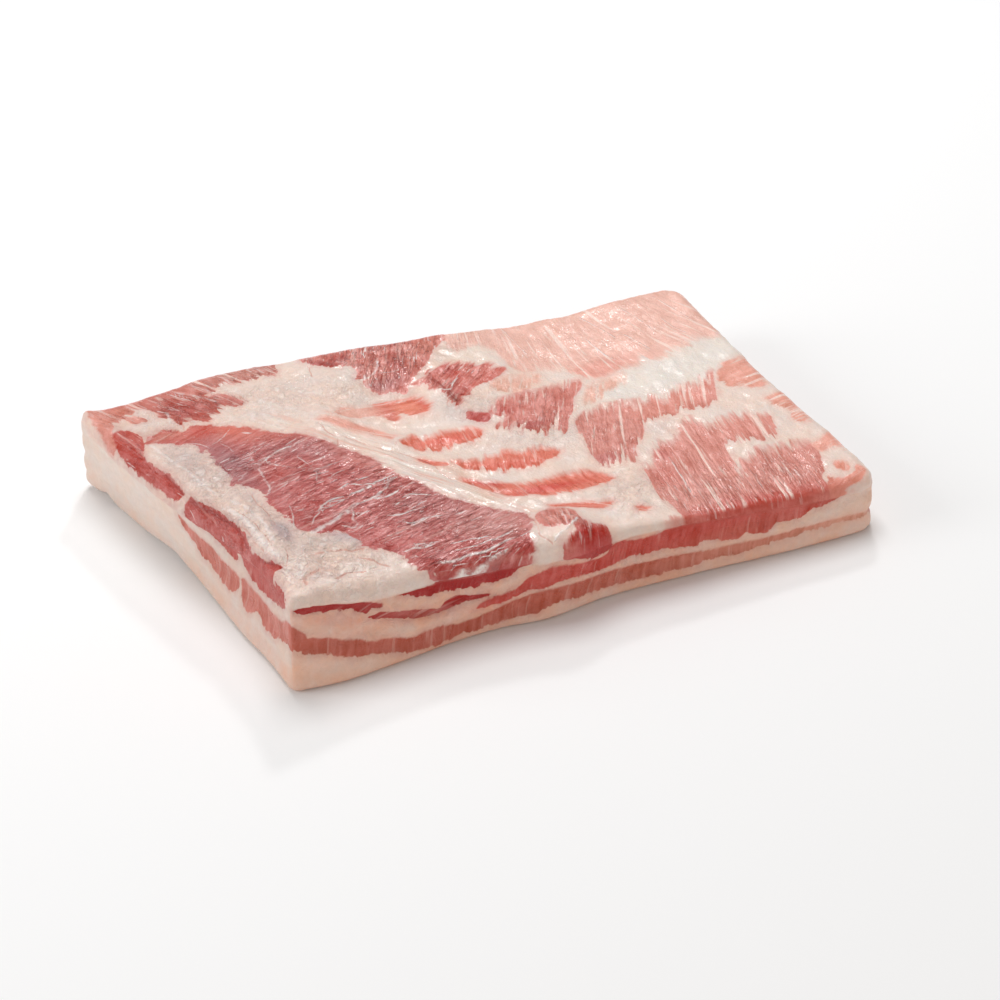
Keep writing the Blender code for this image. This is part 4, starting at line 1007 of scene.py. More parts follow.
class Pattern:
    """What every point of the slab's skin carries for its material."""

    def __init__(self, count):
        self.lean_depth = np.full(count, -FAR)
        self.fray = np.zeros(count)
        self.softness = np.full(count, 0.5)
        self.marbling = np.zeros(count)
        self.ragged = np.ones(count)
        self.tip = np.zeros(count)
        self.sure = np.zeros(count)
        self.texture = np.zeros((count, 3))
        self.rise = np.zeros(count)
        self.lean_colour = np.tile(np.array(ROSE), (count, 1))
        self.fat_colour = np.tile(np.array(CREAM), (count, 1))
        self.grain = np.zeros((count, 2))
        self.strand_and_glint_side = np.full(count, LINE_FAR)
        self.strand_and_glint_near = np.full(count, LINE_FAR)
        self.strand_and_glint_strength = np.zeros(count)
        self.crease_side = np.full(count, LINE_FAR)
        self.crease_near = np.full(count, LINE_FAR)
        self.crease_depth = np.zeros(count)

    def add_meat(self, patches, rows, places, fat_colour):
        """Adds the patches of one face of the slab, at these rows, whose places on it are in cm."""
        self.fat_colour[rows] = fat_colour
        self.grain[rows] = places
        closest = np.full(len(rows), -np.inf)
        second = np.full(len(rows), -FAR)
        for patch in patches.values():
            outline = rounded_outline(patch.outline)
            low, high = outline.min(0) - FAR / 10, outline.max(0) + FAR / 10
            near = np.nonzero(((places > low) & (places < high)).all(axis=1))[0]
            if not len(near):
                continue
            here = places[near]
            distance, way, _ = nearest_on_chain(outline, np.roll(outline, -1, 0), here)
            depth = np.where(inside_outline(outline, here), distance, -distance) * 10
            chosen = depth > closest[near]
            second[near] = np.maximum(second[near], np.where(chosen, closest[near], depth))
            near, here, depth, way = near[chosen], here[chosen], depth[chosen], way[chosen]
            closest[near] = depth
            row = rows[near]
            if patch.fan:
                spoke = here - np.array(patch.fan)
                reach = np.hypot(spoke[:, 0], spoke[:, 1])
                fibre = spoke / reach[:, None]
                turn = np.arctan2(spoke[:, 1], spoke[:, 0])
                self.grain[row] = np.stack([reach, turn * FAN_SPREAD], axis=1)
            else:
                c, s = math.cos(math.radians(patch.grain)), math.sin(math.radians(patch.grain))
                fibre = np.tile((c, s), (len(here), 1))
                self.grain[row] = np.stack([here @ (c, s), here @ (-s, c)], axis=1)
            tip = np.sign(depth) * (way * fibre).sum(axis=1) / np.maximum(np.hypot(*way.T), 1e-9)
            self.tip[row] = tip
            self.lean_depth[row] = np.maximum(depth, -FAR)
            self.fray[row] = patch.fray * (SIDE_FRAY + (1 - SIDE_FRAY) * np.abs(tip) ** 1.5)
            self.softness[row] = patch.soft
            self.ragged[row] = patch.ragged
            self.marbling[row] = patch.marbling
            self.lean_colour[row] = patch.colour
            self.rise[row] = patch.rise * smooth_step(0.5 + depth / PATCH_SLOPE)
        self.sure[rows] = smooth_step((closest - second - MEETING) / MEETING_FADE)

    def stain(self, target, stains, rows, places):
        """Mixes soft ovals, stains and a few of painted light or shade, into one of the pattern's values, at
        the rows of one face.
        """
        for x, y, half_length, half_width, turn, strength, colour in stains:
            bump = turned_bump(places[:, 0], places[:, 1], (x, y), half_length, half_width, turn)
            amount = np.clip(strength * bump * STAIN_PLATEAU, 0.0, strength)[:, None]
            target[rows] = target[rows] * (1 - amount) + np.array(colour) * amount

    def add_textures(self, rows, places):
        """Crumples, wrinkles and streaks of the lean side, each in its own column."""
        for column, areas in enumerate((CRUMPLED, WRINKLED, BANDED)):
            self.stain(self.texture[:, column:column + 1], areas, rows, places)

    def add_lines(self, rows, places):
        """The strands of membrane, the painted highlights drawn as white lines, and the creases of the lean
        side.
        """
        for half_width, strength, points in STRANDS_AND_PAINTED_GLINTS:
            self._line(rows, places, half_width, points, "strand_and_glint", strength)
        for half_width, depth, points in CREASES:
            self._line(rows, places, half_width, points, "crease", depth)

    def _line(self, rows, places, half_width, points, kind, strength):
        """Notes how near the places are to one strand, painted highlight or crease, and on which side of it.
        """
        course = smooth_course(points, np.linspace(0.0, 1.0, STEPS_PER_STATION * len(points)))
        low, high = course.min(0) - LINE_REACH, course.max(0) + LINE_REACH
        near = np.nonzero(((places > low) & (places < high)).all(axis=1))[0]
        if not len(near):
            return
        distance, _, side = nearest_on_chain(course[:-1], course[1:], places[near])
        distance = distance * 10
        row = rows[near]
        closest = getattr(self, kind + "_near")
        nearer = distance < closest[row]
        row, distance, side = row[nearer], distance[nearer], side[nearer]
        closest[row] = distance
        getattr(self, kind + "_side")[row] = side * distance / half_width
        if kind == "strand_and_glint":
            self.strand_and_glint_strength[row] = strength
        else:
            groove = strength * np.exp(-((distance / (half_width + GROOVE_SPREAD)) ** 2))
            self.crease_depth[row] = np.maximum(self.crease_depth[row], groove)


# ---------------------------------------------------------------------------------------------------
# Mesh
# ---------------------------------------------------------------------------------------------------


def blank():
    """A flat grid with a skirt below its rim and rings turned in under it, in shares of the slab.

    x and y are the length and width shares. z counts rings: down the cut faces, then in under the slab.
    """
    mesh = bmesh.new()
    bmesh.ops.create_grid(mesh, x_segments=LENGTH_CELLS, y_segments=WIDTH_CELLS, size=0.5)
    rim = [edge for edge in mesh.edges if edge.is_boundary]
    for _ in range(FACE_RINGS + UNDERSIDE_RINGS):
        made = bmesh.ops.extrude_edge_only(mesh, edges=rim)["geom"]
        verts = [item for item in made if isinstance(item, bmesh.types.BMVert)]
        bmesh.ops.translate(mesh, verts=verts, vec=(0, 0, -1))
        rim = [item for item in made if isinstance(item, bmesh.types.BMEdge) and item.is_boundary]
    bmesh.ops.contextual_create(mesh, geom=rim)
    bmesh.ops.recalc_face_normals(mesh, faces=mesh.faces)
    return mesh


def read_vector(mesh, name="co"):
    """The place of every vertex, or another vector of it, as rows."""
    values = np.empty(len(mesh.vertices) * 3, np.float32)
    mesh.vertices.foreach_get(name, values)
    return values.reshape(-1, 3).astype(float)


def cells_from_edge(u, v, ring):
    """How many cells a point is from the nearest edge between two sides of the slab."""
    along = np.minimum(u, 1 - u) * LENGTH_CELLS
    across = np.minimum(v, 1 - v) * WIDTH_CELLS
    return np.where(ring == 0, np.minimum(along, across), np.minimum(ring, np.maximum(along, across)))


def slab_pattern(points, u, v, ring):
    """The pattern of every point's skin: the lean side from above, and each cut from its own side."""
    pattern = Pattern(len(points))
    rows = np.nonzero(ring == 0)[0]
    places = points[rows, :2]
    pattern.add_meat(TOP_MEAT, rows, places, CREAM)
    pattern.stain(pattern.lean_colour, LEAN_STAINS_AND_SHADE, rows, places)
    pattern.stain(pattern.fat_colour, FAT_STAINS, rows, places)
    pattern.add_lines(rows, places)
    pattern.add_textures(rows, places)
    for patches, chosen, axis, fat, lean_stains, fat_stains, crumples in (
        (LEFT_MEAT, u < ON_RIM, 1, SIDE_FAT, LEFT_STAINS, LEFT_FAT_STAINS, ()),
        (RIGHT_MEAT, u > 1 - ON_RIM, 1, SIDE_FAT, (), RIGHT_FAT_STAINS, ()),
        (FRONT_MEAT, v < ON_RIM, 0, CUT_FAT_AND_WARM_BOUNCE, FRONT_STAINS, FRONT_FAT_STAINS_AND_LIGHT, FRONT_CRUMPLED),
        (BACK_MEAT, v > 1 - ON_RIM, 0, SIDE_FAT, (), (), ()),
    ):
        rows = np.nonzero((ring > 0) & chosen)[0]
        places = points[rows][:, (axis, 2)]
        pattern.add_meat(patches, rows, places, fat)
        pattern.stain(pattern.lean_colour, lean_stains, rows, places)
        pattern.stain(pattern.fat_colour, fat_stains, rows, places)
        pattern.stain(pattern.texture[:, :1], crumples, rows, places)
    pattern.texture[ring > FACE_RINGS, 0] = UNDERSIDE_CRUMPLE
    return pattern


def relief(points, pattern, ring):
    """How far every point stands out, in cm: standing patches, creases, lumps of fat and fibres."""
    x, y, z = points.T
    lean = smooth_step(0.5 + pattern.lean_depth / BORDER_SLOPE)
    crumpled, wrinkled, banded = pattern.texture.T
    lumps = 1 - 2 * np.abs(wander(x, y, z, LUMP_SIZE, 3))
    along, across = pattern.grain.T
    fibres = wander(along, across * FIBRE_STRETCH, 0 * along, FIBRE_LENGTH, 2)
    c, s = math.cos(math.radians(FAT_BAND_TURN)), math.sin(math.radians(FAT_BAND_TURN))
    ridges = wander((x * c + y * s) / RIDGE_STRETCH, y * c - x * s, 0 * x, RIDGE_SIZE, 2)
    out = (pattern.rise - pattern.crease_depth) * MM / CM
    out += (LUMP_RISE + CRUMPLE_RISE * crumpled) * lumps * (1 - lean)
    out += PUCKER_RISE * wander(x + PUCKER_SHIFT, y, z, PUCKER_SIZE, 2)
    out += RIDGE_RISE * ridges * banded * (1 - lean)
    out += (FIBRE_RISE + WRINKLE_RISE * wrinkled) * fibres * lean * pattern.sure
    foot_share = np.clip((ring / FACE_RINGS - FOOT_SMOOTH) / (1 - FOOT_SMOOTH), 0.0, 1.0)
    return out * (1 - foot_share)


def set_attribute(mesh, name, kind, values):
    """Gives every point of the mesh a value: a FLOAT, a FLOAT_VECTOR or a FLOAT_COLOR."""
    field = {"FLOAT": "value", "FLOAT_VECTOR": "vector", "FLOAT_COLOR": "color"}[kind]
    flat = values.astype(np.float32).ravel()
    mesh.attributes.new(name, kind, "POINT").data.foreach_set(field, flat)


def write_pattern(mesh, pattern):
    """Hands the pattern to the mesh, as the attributes that the material reads."""
    for name in ("sure", "strand_and_glint_side", "strand_and_glint_near", "strand_and_glint_strength", "crease_side", "crease_near"):
        set_attribute(mesh, name, "FLOAT", getattr(pattern, name))
    border = np.stack([pattern.lean_depth, pattern.fray, pattern.ragged], axis=1)
    growth = np.stack([pattern.marbling, pattern.softness, pattern.tip], axis=1)
    grain = np.pad(pattern.grain, ((0, 0), (0, 1)))
    set_attribute(mesh, "border", "FLOAT_VECTOR", border)
    set_attribute(mesh, "growth", "FLOAT_VECTOR", growth)
    set_attribute(mesh, "grain", "FLOAT_VECTOR", grain)
    set_attribute(mesh, "texture", "FLOAT_VECTOR", pattern.texture)
    for name in ("lean_colour", "fat_colour"):
        rgba = np.pad(getattr(pattern, name), ((0, 0), (0, 1)), constant_values=1.0)
        set_attribute(mesh, name, "FLOAT_COLOR", rgba)


def slab_mesh():
    """The slab in the frame, in metres, with the pattern of its skin as attributes."""
    grown = blank()
    mesh = bpy.data.meshes.new("pork_belly")
    grown.to_mesh(mesh)
    grown.free()
    shares = read_vector(mesh)
    u, v = shares[:, 0] + 0.5, shares[:, 1] + 0.5
    ring = np.rint(-shares[:, 2])
    from_edge = cells_from_edge(u, v, ring)
    u, v = crowded(u), crowded(v)
    points = lean_side(u, v)
    on_face = (ring > 0) & (ring <= FACE_RINGS)
    points[on_face] = cut_face(u[on_face], v[on_face], ring[on_face] / FACE_RINGS)
    under = ring > FACE_RINGS
    points[under] = underside(u[under], v[under], (ring[under] - FACE_RINGS) / UNDERSIDE_RINGS)
    mesh.vertices.foreach_set("co", points.astype(np.float32).ravel())
    mesh.update()

    pattern = slab_pattern(points, u, v, ring)
    pattern.sure *= smooth_step((from_edge - EDGE_CELLS) / EDGE_FADE)
    carved = points + read_vector(mesh, "normal") * relief(points, pattern, ring)[:, None]
    box_low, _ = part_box(NODE)
    placed = (carved - points.min(axis=0)) * CM + np.array(box_low)
    mesh.vertices.foreach_set("co", placed.astype(np.float32).ravel())
    write_pattern(mesh, pattern)
    mesh.shade_smooth()
    mesh.update()
    return mesh


# ---------------------------------------------------------------------------------------------------
# Materials
# ---------------------------------------------------------------------------------------------------


# Sockets of the Mix node that hold its two colours and its mixed colour.
MIX_COLOURS = slice(6, 8)
MIX_RESULT = 2


class Nodes:
    """A short way to write the nodes of one material."""

    def __init__(self, name):
        self.material = bpy.data.materials.new(name)
        self.material.use_nodes = True
        self.tree = self.material.node_tree
        self.shader = self.tree.nodes["Principled BSDF"]

    def node(self, kind, **inputs):
        made = self.tree.nodes.new(kind)
        for name, value in inputs.items():
            self.feed(made.inputs[name.replace("_", " ")], value)
        return made

    def feed(self, socket, value):
        if isinstance(value, bpy.types.NodeSocket):
            self.tree.links.new(value, socket)
        else:
            socket.default_value = value

    def attribute(self, name, output="Fac"):
        made = self.tree.nodes.new("ShaderNodeAttribute")
        made.attribute_name = name
        return made.outputs[output]

    def object_place(self):
        return self.tree.nodes.new("ShaderNodeTexCoord").outputs["Object"]

    def maths(self, operation, *values):
        made = self.tree.nodes.new("ShaderNodeMath")
        made.operation = operation
        for socket, value in zip(made.inputs, values):
            self.feed(socket, value)
        return made.outputs[0]

    def times(self, first, *others):
        for other in others:
            first = self.maths("MULTIPLY", first, other)
        return first

    def scaled(self, vector, scale):
        made = self.node("ShaderNodeMapping", Vector=vector)
        made.inputs["Scale"].default_value = scale
        return made.outputs[0]

    def noise(self, vector, scale, detail=3.0, roughness=0.5, distortion=0.0):
        made = self.node("ShaderNodeTexNoise", Vector=vector, Scale=scale, Detail=detail, Roughness=roughness)
        made.inputs["Distortion"].default_value = distortion
        return made.outputs["Fac"]

    def ramp(self, value, low, high, start=0.0, end=1.0, curve="SMOOTHSTEP"):
        made = self.tree.nodes.new("ShaderNodeMapRange")
        made.interpolation_type = curve
        names = ("Value", "From Min", "From Max", "To Min", "To Max")
        for name, item in zip(names, (value, low, high, start, end)):
            self.feed(made.inputs[name], item)
        return made.outputs["Result"]

    def mixed(self, share, first, second):
        made = self.tree.nodes.new("ShaderNodeMix")
        made.data_type = "RGBA"
        self.feed(made.inputs["Factor"], share)
        for socket, value in zip(made.inputs[MIX_COLOURS], (first, second)):
            self.feed(socket, value if isinstance(value, bpy.types.NodeSocket) else (*value, 1.0))
        return made.outputs[MIX_RESULT]

    def about(self, value, gain):
        """A noise value as a swing round zero."""
        return self.times(self.maths("SUBTRACT", value, 0.5), gain)

    def scaled_up(self, value, start, end):
        """Runs from start to end while the value runs from 0 to 1."""
        return self.ramp(value, 0.0, 1.0, start, end, "LINEAR")

    def total(self, first, *others):
        for other in others:
            first = self.maths("ADD", first, other)
        return first

    def parts(self, vector):
        return self.node("ShaderNodeSeparateXYZ", Vector=vector).outputs

    def turned(self, vector, degrees, scale):
        """The vector turned about z, so that x runs along this direction, then scaled."""
        made = self.node("ShaderNodeMapping", Vector=vector)
        made.inputs["Rotation"].default_value = (0.0, 0.0, -math.radians(degrees))
        return self.scaled(made.outputs[0], scale)

    def tinted(self, colour, value, saturation):
        made = self.node("ShaderNodeHueSaturation", Color=colour, Value=value, Saturation=saturation)
        return made.outputs["Color"]

    def bumped(self, height, distance, strength=1.0, normal=None):
        made = self.node("ShaderNodeBump", Height=height, Strength=strength, Distance=distance)
        if normal is not None:
            self.feed(made.inputs["Normal"], normal)
        return made.outputs["Normal"]


# Noise that follows the fibres: waves along and across them, per cm, detail, roughness, distortion.
GRAIN_NOISE = {
    "tears": (0.35, 1.4, 2.0, 0.50, 0.3),
    "slits": (0.40, 4.2, 2.0, 0.50, 0.4),
    "clumps": (0.30, 0.8, 1.0, 0.50, 0.0),
    "streaks": (0.616, 3.52, 2.0, 0.55, 0.4),
    "fibres": (0.45, 2.9, 3.0, 0.50, 0.6),
    "crests": (0.80, 3.6, 3.0, 0.58, 1.1),
    "seams": (0.42, 2.3, 2.5, 0.50, 1.0),
    "pale_fibres": (0.17, 2.8, 2.0, 0.50, 0.4),
    "painted_glint_dashes": (0.75, 5.6, 1.5, 0.50, 0.9),
    "ripples": (0.80, 4.6, 2.5, 0.50, 0.8),
}
# Noise that doesn't: waves per metre, detail, roughness, distortion.
PLACE_NOISE = {
    "lobes": (190.0, 4.0, 0.62, 0.5),
    "mottles": (110.0, 4.0, 0.55, 0.6),
    "specks": (620.0, 3.0, 0.60, 0.3),
    "blood_and_sheen": (75.0, 4.0, 0.58, 0.8),
    "clouds": (60.0, 5.0, 0.60, 0.0),
    "folds": (160.0, 5.0, 0.60, 1.0),
    "crumbs": (340.0, 3.0, 0.60, 0.8),
    "greyness": (130.0, 4.0, 0.60, 0.4),
    "waver": (330.0, 3.0, 0.50, 0.0),
    "broken_strands_and_glints": (240.0, 3.0, 0.60, 0.0),
    "broken_creases": (160.0, 2.0, 0.50, 0.0),
    "wetness": (150.0, 3.0, 0.50, 0.0),
}
# Waves per metre of the streaks along the band of fat and across it, and their noise.
BAND_WAVES = (30.0, 300.0, 30.0)
BAND_NOISE = (1.0, 4.0, 0.55, 0.2)

# Colours that the material adds to those of the patches.
PALE_FIBRE = (0.90, 0.65, 0.57)
BLOODY = (0.46, 0.050, 0.040)
# A painted sheen: milky patches standing for wet membrane that reflects the light.
PAINTED_SHEEN_MILKY = (0.60, 0.29, 0.28)
SEAM_RED = (0.36, 0.035, 0.035)
# A painted highlight: short white glints on the wet wrinkles.
GLINT = (0.93, 0.80, 0.77)
GREYED = (0.60, 0.50, 0.47)
CRACK_PINK = (0.62, 0.38, 0.33)
BAND_ROSE = (0.80, 0.45, 0.36)
BAND_CREAM = (0.88, 0.80, 0.72)
# White of the membrane strands, also used for the painted highlights drawn as white lines.
MEMBRANE_AND_GLINT_WHITE = (0.91, 0.82, 0.79)
# Crease colours: the fat's pink creases and the lean's dark ones, both darkened as painted shade in the
# grooves.
FAT_CREASE_AND_SHADE = (0.68, 0.33, 0.26)
LEAN_CREASE_AND_SHADE = (0.33, 0.030, 0.022)

# Height of each kind of relief in the material, in metres.
RIPPLE_HEIGHT = 0.0018
MOTTLE_HEIGHT = 0.0012
SEAM_HEIGHT = 0.0005
FOLD_HEIGHT = 0.0018
CRUMB_HEIGHT = 0.0012
LINE_HEIGHT = 0.0005
CREST_HEIGHT = 0.0006
FIBRE_HEIGHT = 0.0010
BAND_HEIGHT = 0.0016
SPECK_HEIGHT = 0.0003

# What is the same all over the pork: how mirror-like it is, and how deep light sinks in, in metres.
PORK_SHADER = {
    "Specular IOR Level": 0.28,
    "Coat Roughness": 0.12,
    "Subsurface Weight": 0.10,
    "Subsurface Radius": (1.0, 0.35, 0.20),
    "Subsurface Scale": 0.0015,
}


class Pork(Nodes):
    """The nodes of raw pork, with what every point of the skin carries and the noise that is shared."""

    def __init__(self):
        super().__init__("raw_pork")
        self.place = self.object_place()
        self.grain = self.attribute("grain", "Vector")
        self.lean_colour = self.attribute("lean_colour", "Color")
        self.fat_colour = self.attribute("fat_colour", "Color")
        self.lean_depth, self.fray, self.ragged = self.parts(self.attribute("border", "Vector"))
        self.marbling, self.softness, self.tip = self.parts(self.attribute("growth", "Vector"))
        self.crumpled, self.wrinkled, self.banded = self.parts(self.attribute("texture", "Vector"))
        self.sure = self.attribute("sure")
        self.far_end = self.maths("MAXIMUM", self.tip, 0.0)
        self.near_end = self.maths("MAXIMUM", self.times(self.tip, -1.0), 0.0)
        self.mottles = self.spotted("mottles")
        self.specks = self.spotted("specks")
        self.folds = self.spotted("folds")
        self.crumbs = self.spotted("crumbs")
        self.fibres = self.streaked("fibres")
        self.crests = self.streaked("crests")
        self.cracks = self.ramp(self.maths("ABSOLUTE", self.about(self.folds, 1.0)), 0.0, 0.10, 1.0, 0.0)
        band_place = self.turned(self.place, FAT_BAND_TURN, BAND_WAVES)
        self.bands = self.noise(band_place, *BAND_NOISE)

    def streaked(self, kind):
        """Noise that follows the fibres."""
        along, across, *rest = GRAIN_NOISE[kind]
        return self.noise(self.scaled(self.grain, (along, across, 1.0)), 1.0, *rest)

    def spotted(self, kind):
        """Noise that is alike in every direction."""
        return self.noise(self.place, *PLACE_NOISE[kind])


def torn_border(n):
    """How deep a place lies in the lean, in mm, and its share of lean: torn along the fibres, else lobed."""
    uneven = n.times(n.ragged, n.scaled_up(n.near_end, 0.5, 1.0))
    tears = n.ramp(n.streaked("tears"), 0.26, 0.74)
    slits = n.ramp(n.streaked("slits"), 0.26, 0.74)
    clumps = n.ramp(n.streaked("clumps"), 0.35, 0.65, 0.3, 1.0)
    reach = n.times(n.fray, n.sure)
    torn = n.total(n.about(tears, n.times(reach, 1.5)), n.about(slits, n.times(reach, clumps, 2.2)))
    lobed = n.about(n.spotted("lobes"), n.times(uneven, 5.5))
    depth = n.total(n.lean_depth, torn, lobed)
    feather = n.times(n.fray, 1.20, n.far_end)
    half_soft = n.total(n.times(n.softness, 0.9), feather)
    return depth, n.ramp(depth, n.times(half_soft, -1.0), half_soft)


def streaks_of_fat(n, depth):
    """Fat that streaks the lean, thickest near its border, and slivers where the fibres begin."""
    near_border = n.ramp(depth, 6.0, 0.0)
    slivered = n.times(near_border, n.near_end, n.ramp(n.fray, 1.0, 3.0), n.sure)
    onset = n.total(0.69, n.times(n.marbling, -0.15), n.times(near_border, -0.04))
    onset = n.total(onset, n.times(slivered, -0.07))
    marbled = n.ramp(n.streaked("streaks"), onset, n.total(onset, 0.10))
    marbled = n.times(marbled, n.ramp(n.marbling, 0.0, 0.4, 0.15, 0.85))
    return n.maths("MINIMUM", n.times(marbled, n.sure), 0.85), slivered


def seams_between_fibres(n, depth):
    """Thin dark seams between the bundles of a wrinkled muscle."""
    seams = n.about(n.streaked("seams"), 1.0)
    seams = n.times(n.ramp(n.maths("ABSOLUTE", seams), 0.0, 0.022, 1.0, 0.0), n.sure)
    return n.times(seams, n.ramp(depth, 0.2, 2.5), n.wrinkled)


def coloured_lean(n, slivered, seams, fibrous):
    """The lean: soft mottles, fibres, flecks and seams, lighter and darker, with a painted sheen in milky
    patches and painted highlights in short white dashes.
    """
    swing = n.about(n.mottles, n.scaled_up(n.wrinkled, 0.40, 1.4))
    swing = n.total(swing, n.about(n.fibres, n.times(fibrous, 0.65)))
    swing = n.total(swing, n.about(n.crests, n.times(n.wrinkled, 1.3)))
    swing = n.total(swing, n.about(n.specks, n.scaled_up(n.wrinkled, 0.10, 0.60)))
    value = n.total(1.0, swing, n.times(slivered, -0.18))
    red = n.total(1.0, n.times(swing, -0.60), n.times(slivered, 0.12))
    meat = n.tinted(n.lean_colour, value, red)
    pale_fibres = n.ramp(n.streaked("pale_fibres"), 0.58, 0.67, 0.0, n.times(n.marbling, 2.0))
    meat = n.mixed(n.times(pale_fibres, n.sure), meat, PALE_FIBRE)
    blood_and_sheen = n.spotted("blood_and_sheen")
    meat = n.mixed(n.times(n.ramp(blood_and_sheen, 0.50, 0.36), n.times(n.wrinkled, 0.35)), meat, BLOODY)
    # Painted sheen: milky patches on the wrinkled muscles.
    meat = n.mixed(n.times(n.ramp(blood_and_sheen, 0.52, 0.68), n.times(n.wrinkled, 0.28)), meat, PAINTED_SHEEN_MILKY)
    meat = n.mixed(n.times(seams, 0.50), meat, SEAM_RED)
    # Painted highlights: short white glints along the fibres, in clusters.
    painted_glint_dashes = n.times(n.ramp(n.streaked("painted_glint_dashes"), 0.62, 0.67), n.ramp(blood_and_sheen, 0.42, 0.54))
    return n.mixed(n.times(painted_glint_dashes, n.times(n.wrinkled, 0.85)), meat, GLINT)


def coloured_fat(n, depth):
    """The fat: pink and white clouds, crumples, streaks along the band, and a blush beside the lean."""
    clouds = n.spotted("clouds")
    lightness = n.total(1.0, n.about(clouds, 0.14), n.about(n.specks, 0.10))
    lightness = n.total(lightness, n.about(n.folds, n.scaled_up(n.crumpled, 0.05, 0.22)))
    lightness = n.total(lightness, n.about(n.crumbs, n.scaled_up(n.crumpled, 0.10, 0.60)))
    red = n.total(1.0, n.about(clouds, 1.2), n.about(n.folds, n.scaled_up(n.crumpled, -0.3, -1.1)))
    fat = n.tinted(n.fat_colour, lightness, red)
    fat = n.mixed(n.times(n.ramp(n.spotted("greyness"), 0.50, 0.64), n.times(n.crumpled, 0.08)), fat, GREYED)
    fat = n.mixed(n.times(n.cracks, n.times(n.crumpled, 0.30)), fat, CRACK_PINK)
    fat = n.mixed(n.times(n.ramp(n.bands, 0.54, 0.68), n.times(n.banded, 0.75)), fat, BAND_ROSE)
    fat = n.mixed(n.times(n.ramp(n.bands, 0.46, 0.34), n.times(n.banded, 0.60)), fat, BAND_CREAM)
    blush = n.times(n.ramp(depth, -5.0, 0.3), n.ramp(n.folds, 0.35, 0.65, 0.25, 0.75))
    return n.mixed(blush, fat, n.mixed(0.5, fat, n.lean_colour))


def drawn_line(n, kind, waver, edge, reach):
    """The share of a point that a strand or a crease covers: its wavering edge and its reach, in mm."""
    beside = n.maths("ABSOLUTE", n.maths("ADD", n.attribute(kind + "_side"), waver))
    return n.times(n.ramp(beside, *edge), n.ramp(n.attribute(kind + "_near"), *reach))


def lined(n, lean, skin):
    """The skin with strands of membrane, painted highlights drawn as white lines, and creases darkened with
    painted shade, and how strongly each shows.
    """
    waver = n.about(n.spotted("waver"), 2.6)
    strand_and_glint = n.times(drawn_line(n, "strand_and_glint", waver, (2.2, 0.2), (2.4, 1.4)), n.attribute("strand_and_glint_strength"))
    strand_and_glint = n.times(strand_and_glint, n.ramp(n.spotted("broken_strands_and_glints"), 0.38, 0.56, 0.25, 1.0))
    # White strands: membrane, and painted highlights where wet wrinkles catch the light.
    skin = n.mixed(strand_and_glint, skin, MEMBRANE_AND_GLINT_WHITE)
    crease = drawn_line(n, "crease", waver, (1.8, 0.3), (2.2, 1.2))
    crease = n.times(crease, n.ramp(n.spotted("broken_creases"), 0.38, 0.55, 0.20, 0.75))
    # Creases are darkened with painted shade, with the crease's own pink on the fat.
    return n.mixed(crease, skin, n.mixed(lean, FAT_CREASE_AND_SHADE, LEAN_CREASE_AND_SHADE)), strand_and_glint, crease


def wet_film(n, depth, lean, seams, fibrous, strand_and_glint, crease):
    """A wet film, thickest on the wrinkled muscles. It follows soft ripples, with finer detail under it."""
    n.feed(n.shader.inputs["Coat Weight"], n.total(0.14, n.times(n.wrinkled, 0.60)))
    well_inside = n.times(n.ramp(depth, 0.2, 2.5), n.sure)
    rippled = n.times(well_inside, n.wrinkled)
    film = n.bumped(n.about(n.streaked("ripples"), rippled), RIPPLE_HEIGHT)
    film = n.bumped(n.about(n.mottles, rippled), MOTTLE_HEIGHT, 1.0, film)
    film = n.bumped(n.times(seams, -1.0), SEAM_HEIGHT, 1.0, film)
    creased = n.total(n.folds, n.times(n.cracks, -0.25))
    film = n.bumped(n.times(creased, n.scaled_up(n.crumpled, 0.08, 0.50)), FOLD_HEIGHT, 1.0, film)
    fatness = n.ramp(lean, 1.0, 0.0)
    film = n.bumped(n.about(n.crumbs, n.times(n.crumpled, fatness)), CRUMB_HEIGHT, 1.0, film)
    film = n.bumped(n.total(strand_and_glint, n.times(crease, -0.5)), LINE_HEIGHT, 0.7, film)
    n.feed(n.shader.inputs["Coat Normal"], film)
    normal = n.bumped(n.about(n.crests, rippled), CREST_HEIGHT, 1.0, film)
    normal = n.bumped(n.about(n.fibres, n.times(well_inside, fibrous)), FIBRE_HEIGHT, 1.0, normal)
    normal = n.bumped(n.times(n.bands, n.banded), BAND_HEIGHT, 1.0, normal)
    normal = n.bumped(n.specks, SPECK_HEIGHT, 1.0, normal)
    n.feed(n.shader.inputs["Normal"], normal)


def raw_pork():
    """Moist raw pork: lean with fibres and marbling, firm fat, and the torn border between them."""
    n = Pork()
    depth, lean = torn_border(n)
    fatty, slivered = streaks_of_fat(n, depth)
    seams = seams_between_fibres(n, depth)
    greenness = n.node("ShaderNodeSeparateColor", Color=n.lean_colour).outputs["Green"]
    fibrous = n.times(n.sure, n.ramp(greenness, 0.18, 0.45, 1.0, 0.30))
    fat = coloured_fat(n, depth)
    meat = coloured_lean(n, slivered, seams, fibrous)
    meat = n.mixed(fatty, meat, n.mixed(0.25, fat, n.lean_colour))
    skin, strand_and_glint, crease = lined(n, lean, n.mixed(lean, fat, meat))
    n.feed(n.shader.inputs["Base Color"], skin)

    rough = n.ramp(lean, 0.0, 1.0, 0.48, 0.34)
    wetness = n.ramp(n.spotted("wetness"), 0.3, 0.7, -0.10, 0.12)
    n.feed(n.shader.inputs["Roughness"], n.total(rough, wetness))
    wet_film(n, depth, lean, seams, fibrous, strand_and_glint, crease)

    for name, value in PORK_SHADER.items():
        n.shader.inputs[name].default_value = value
    return n.material


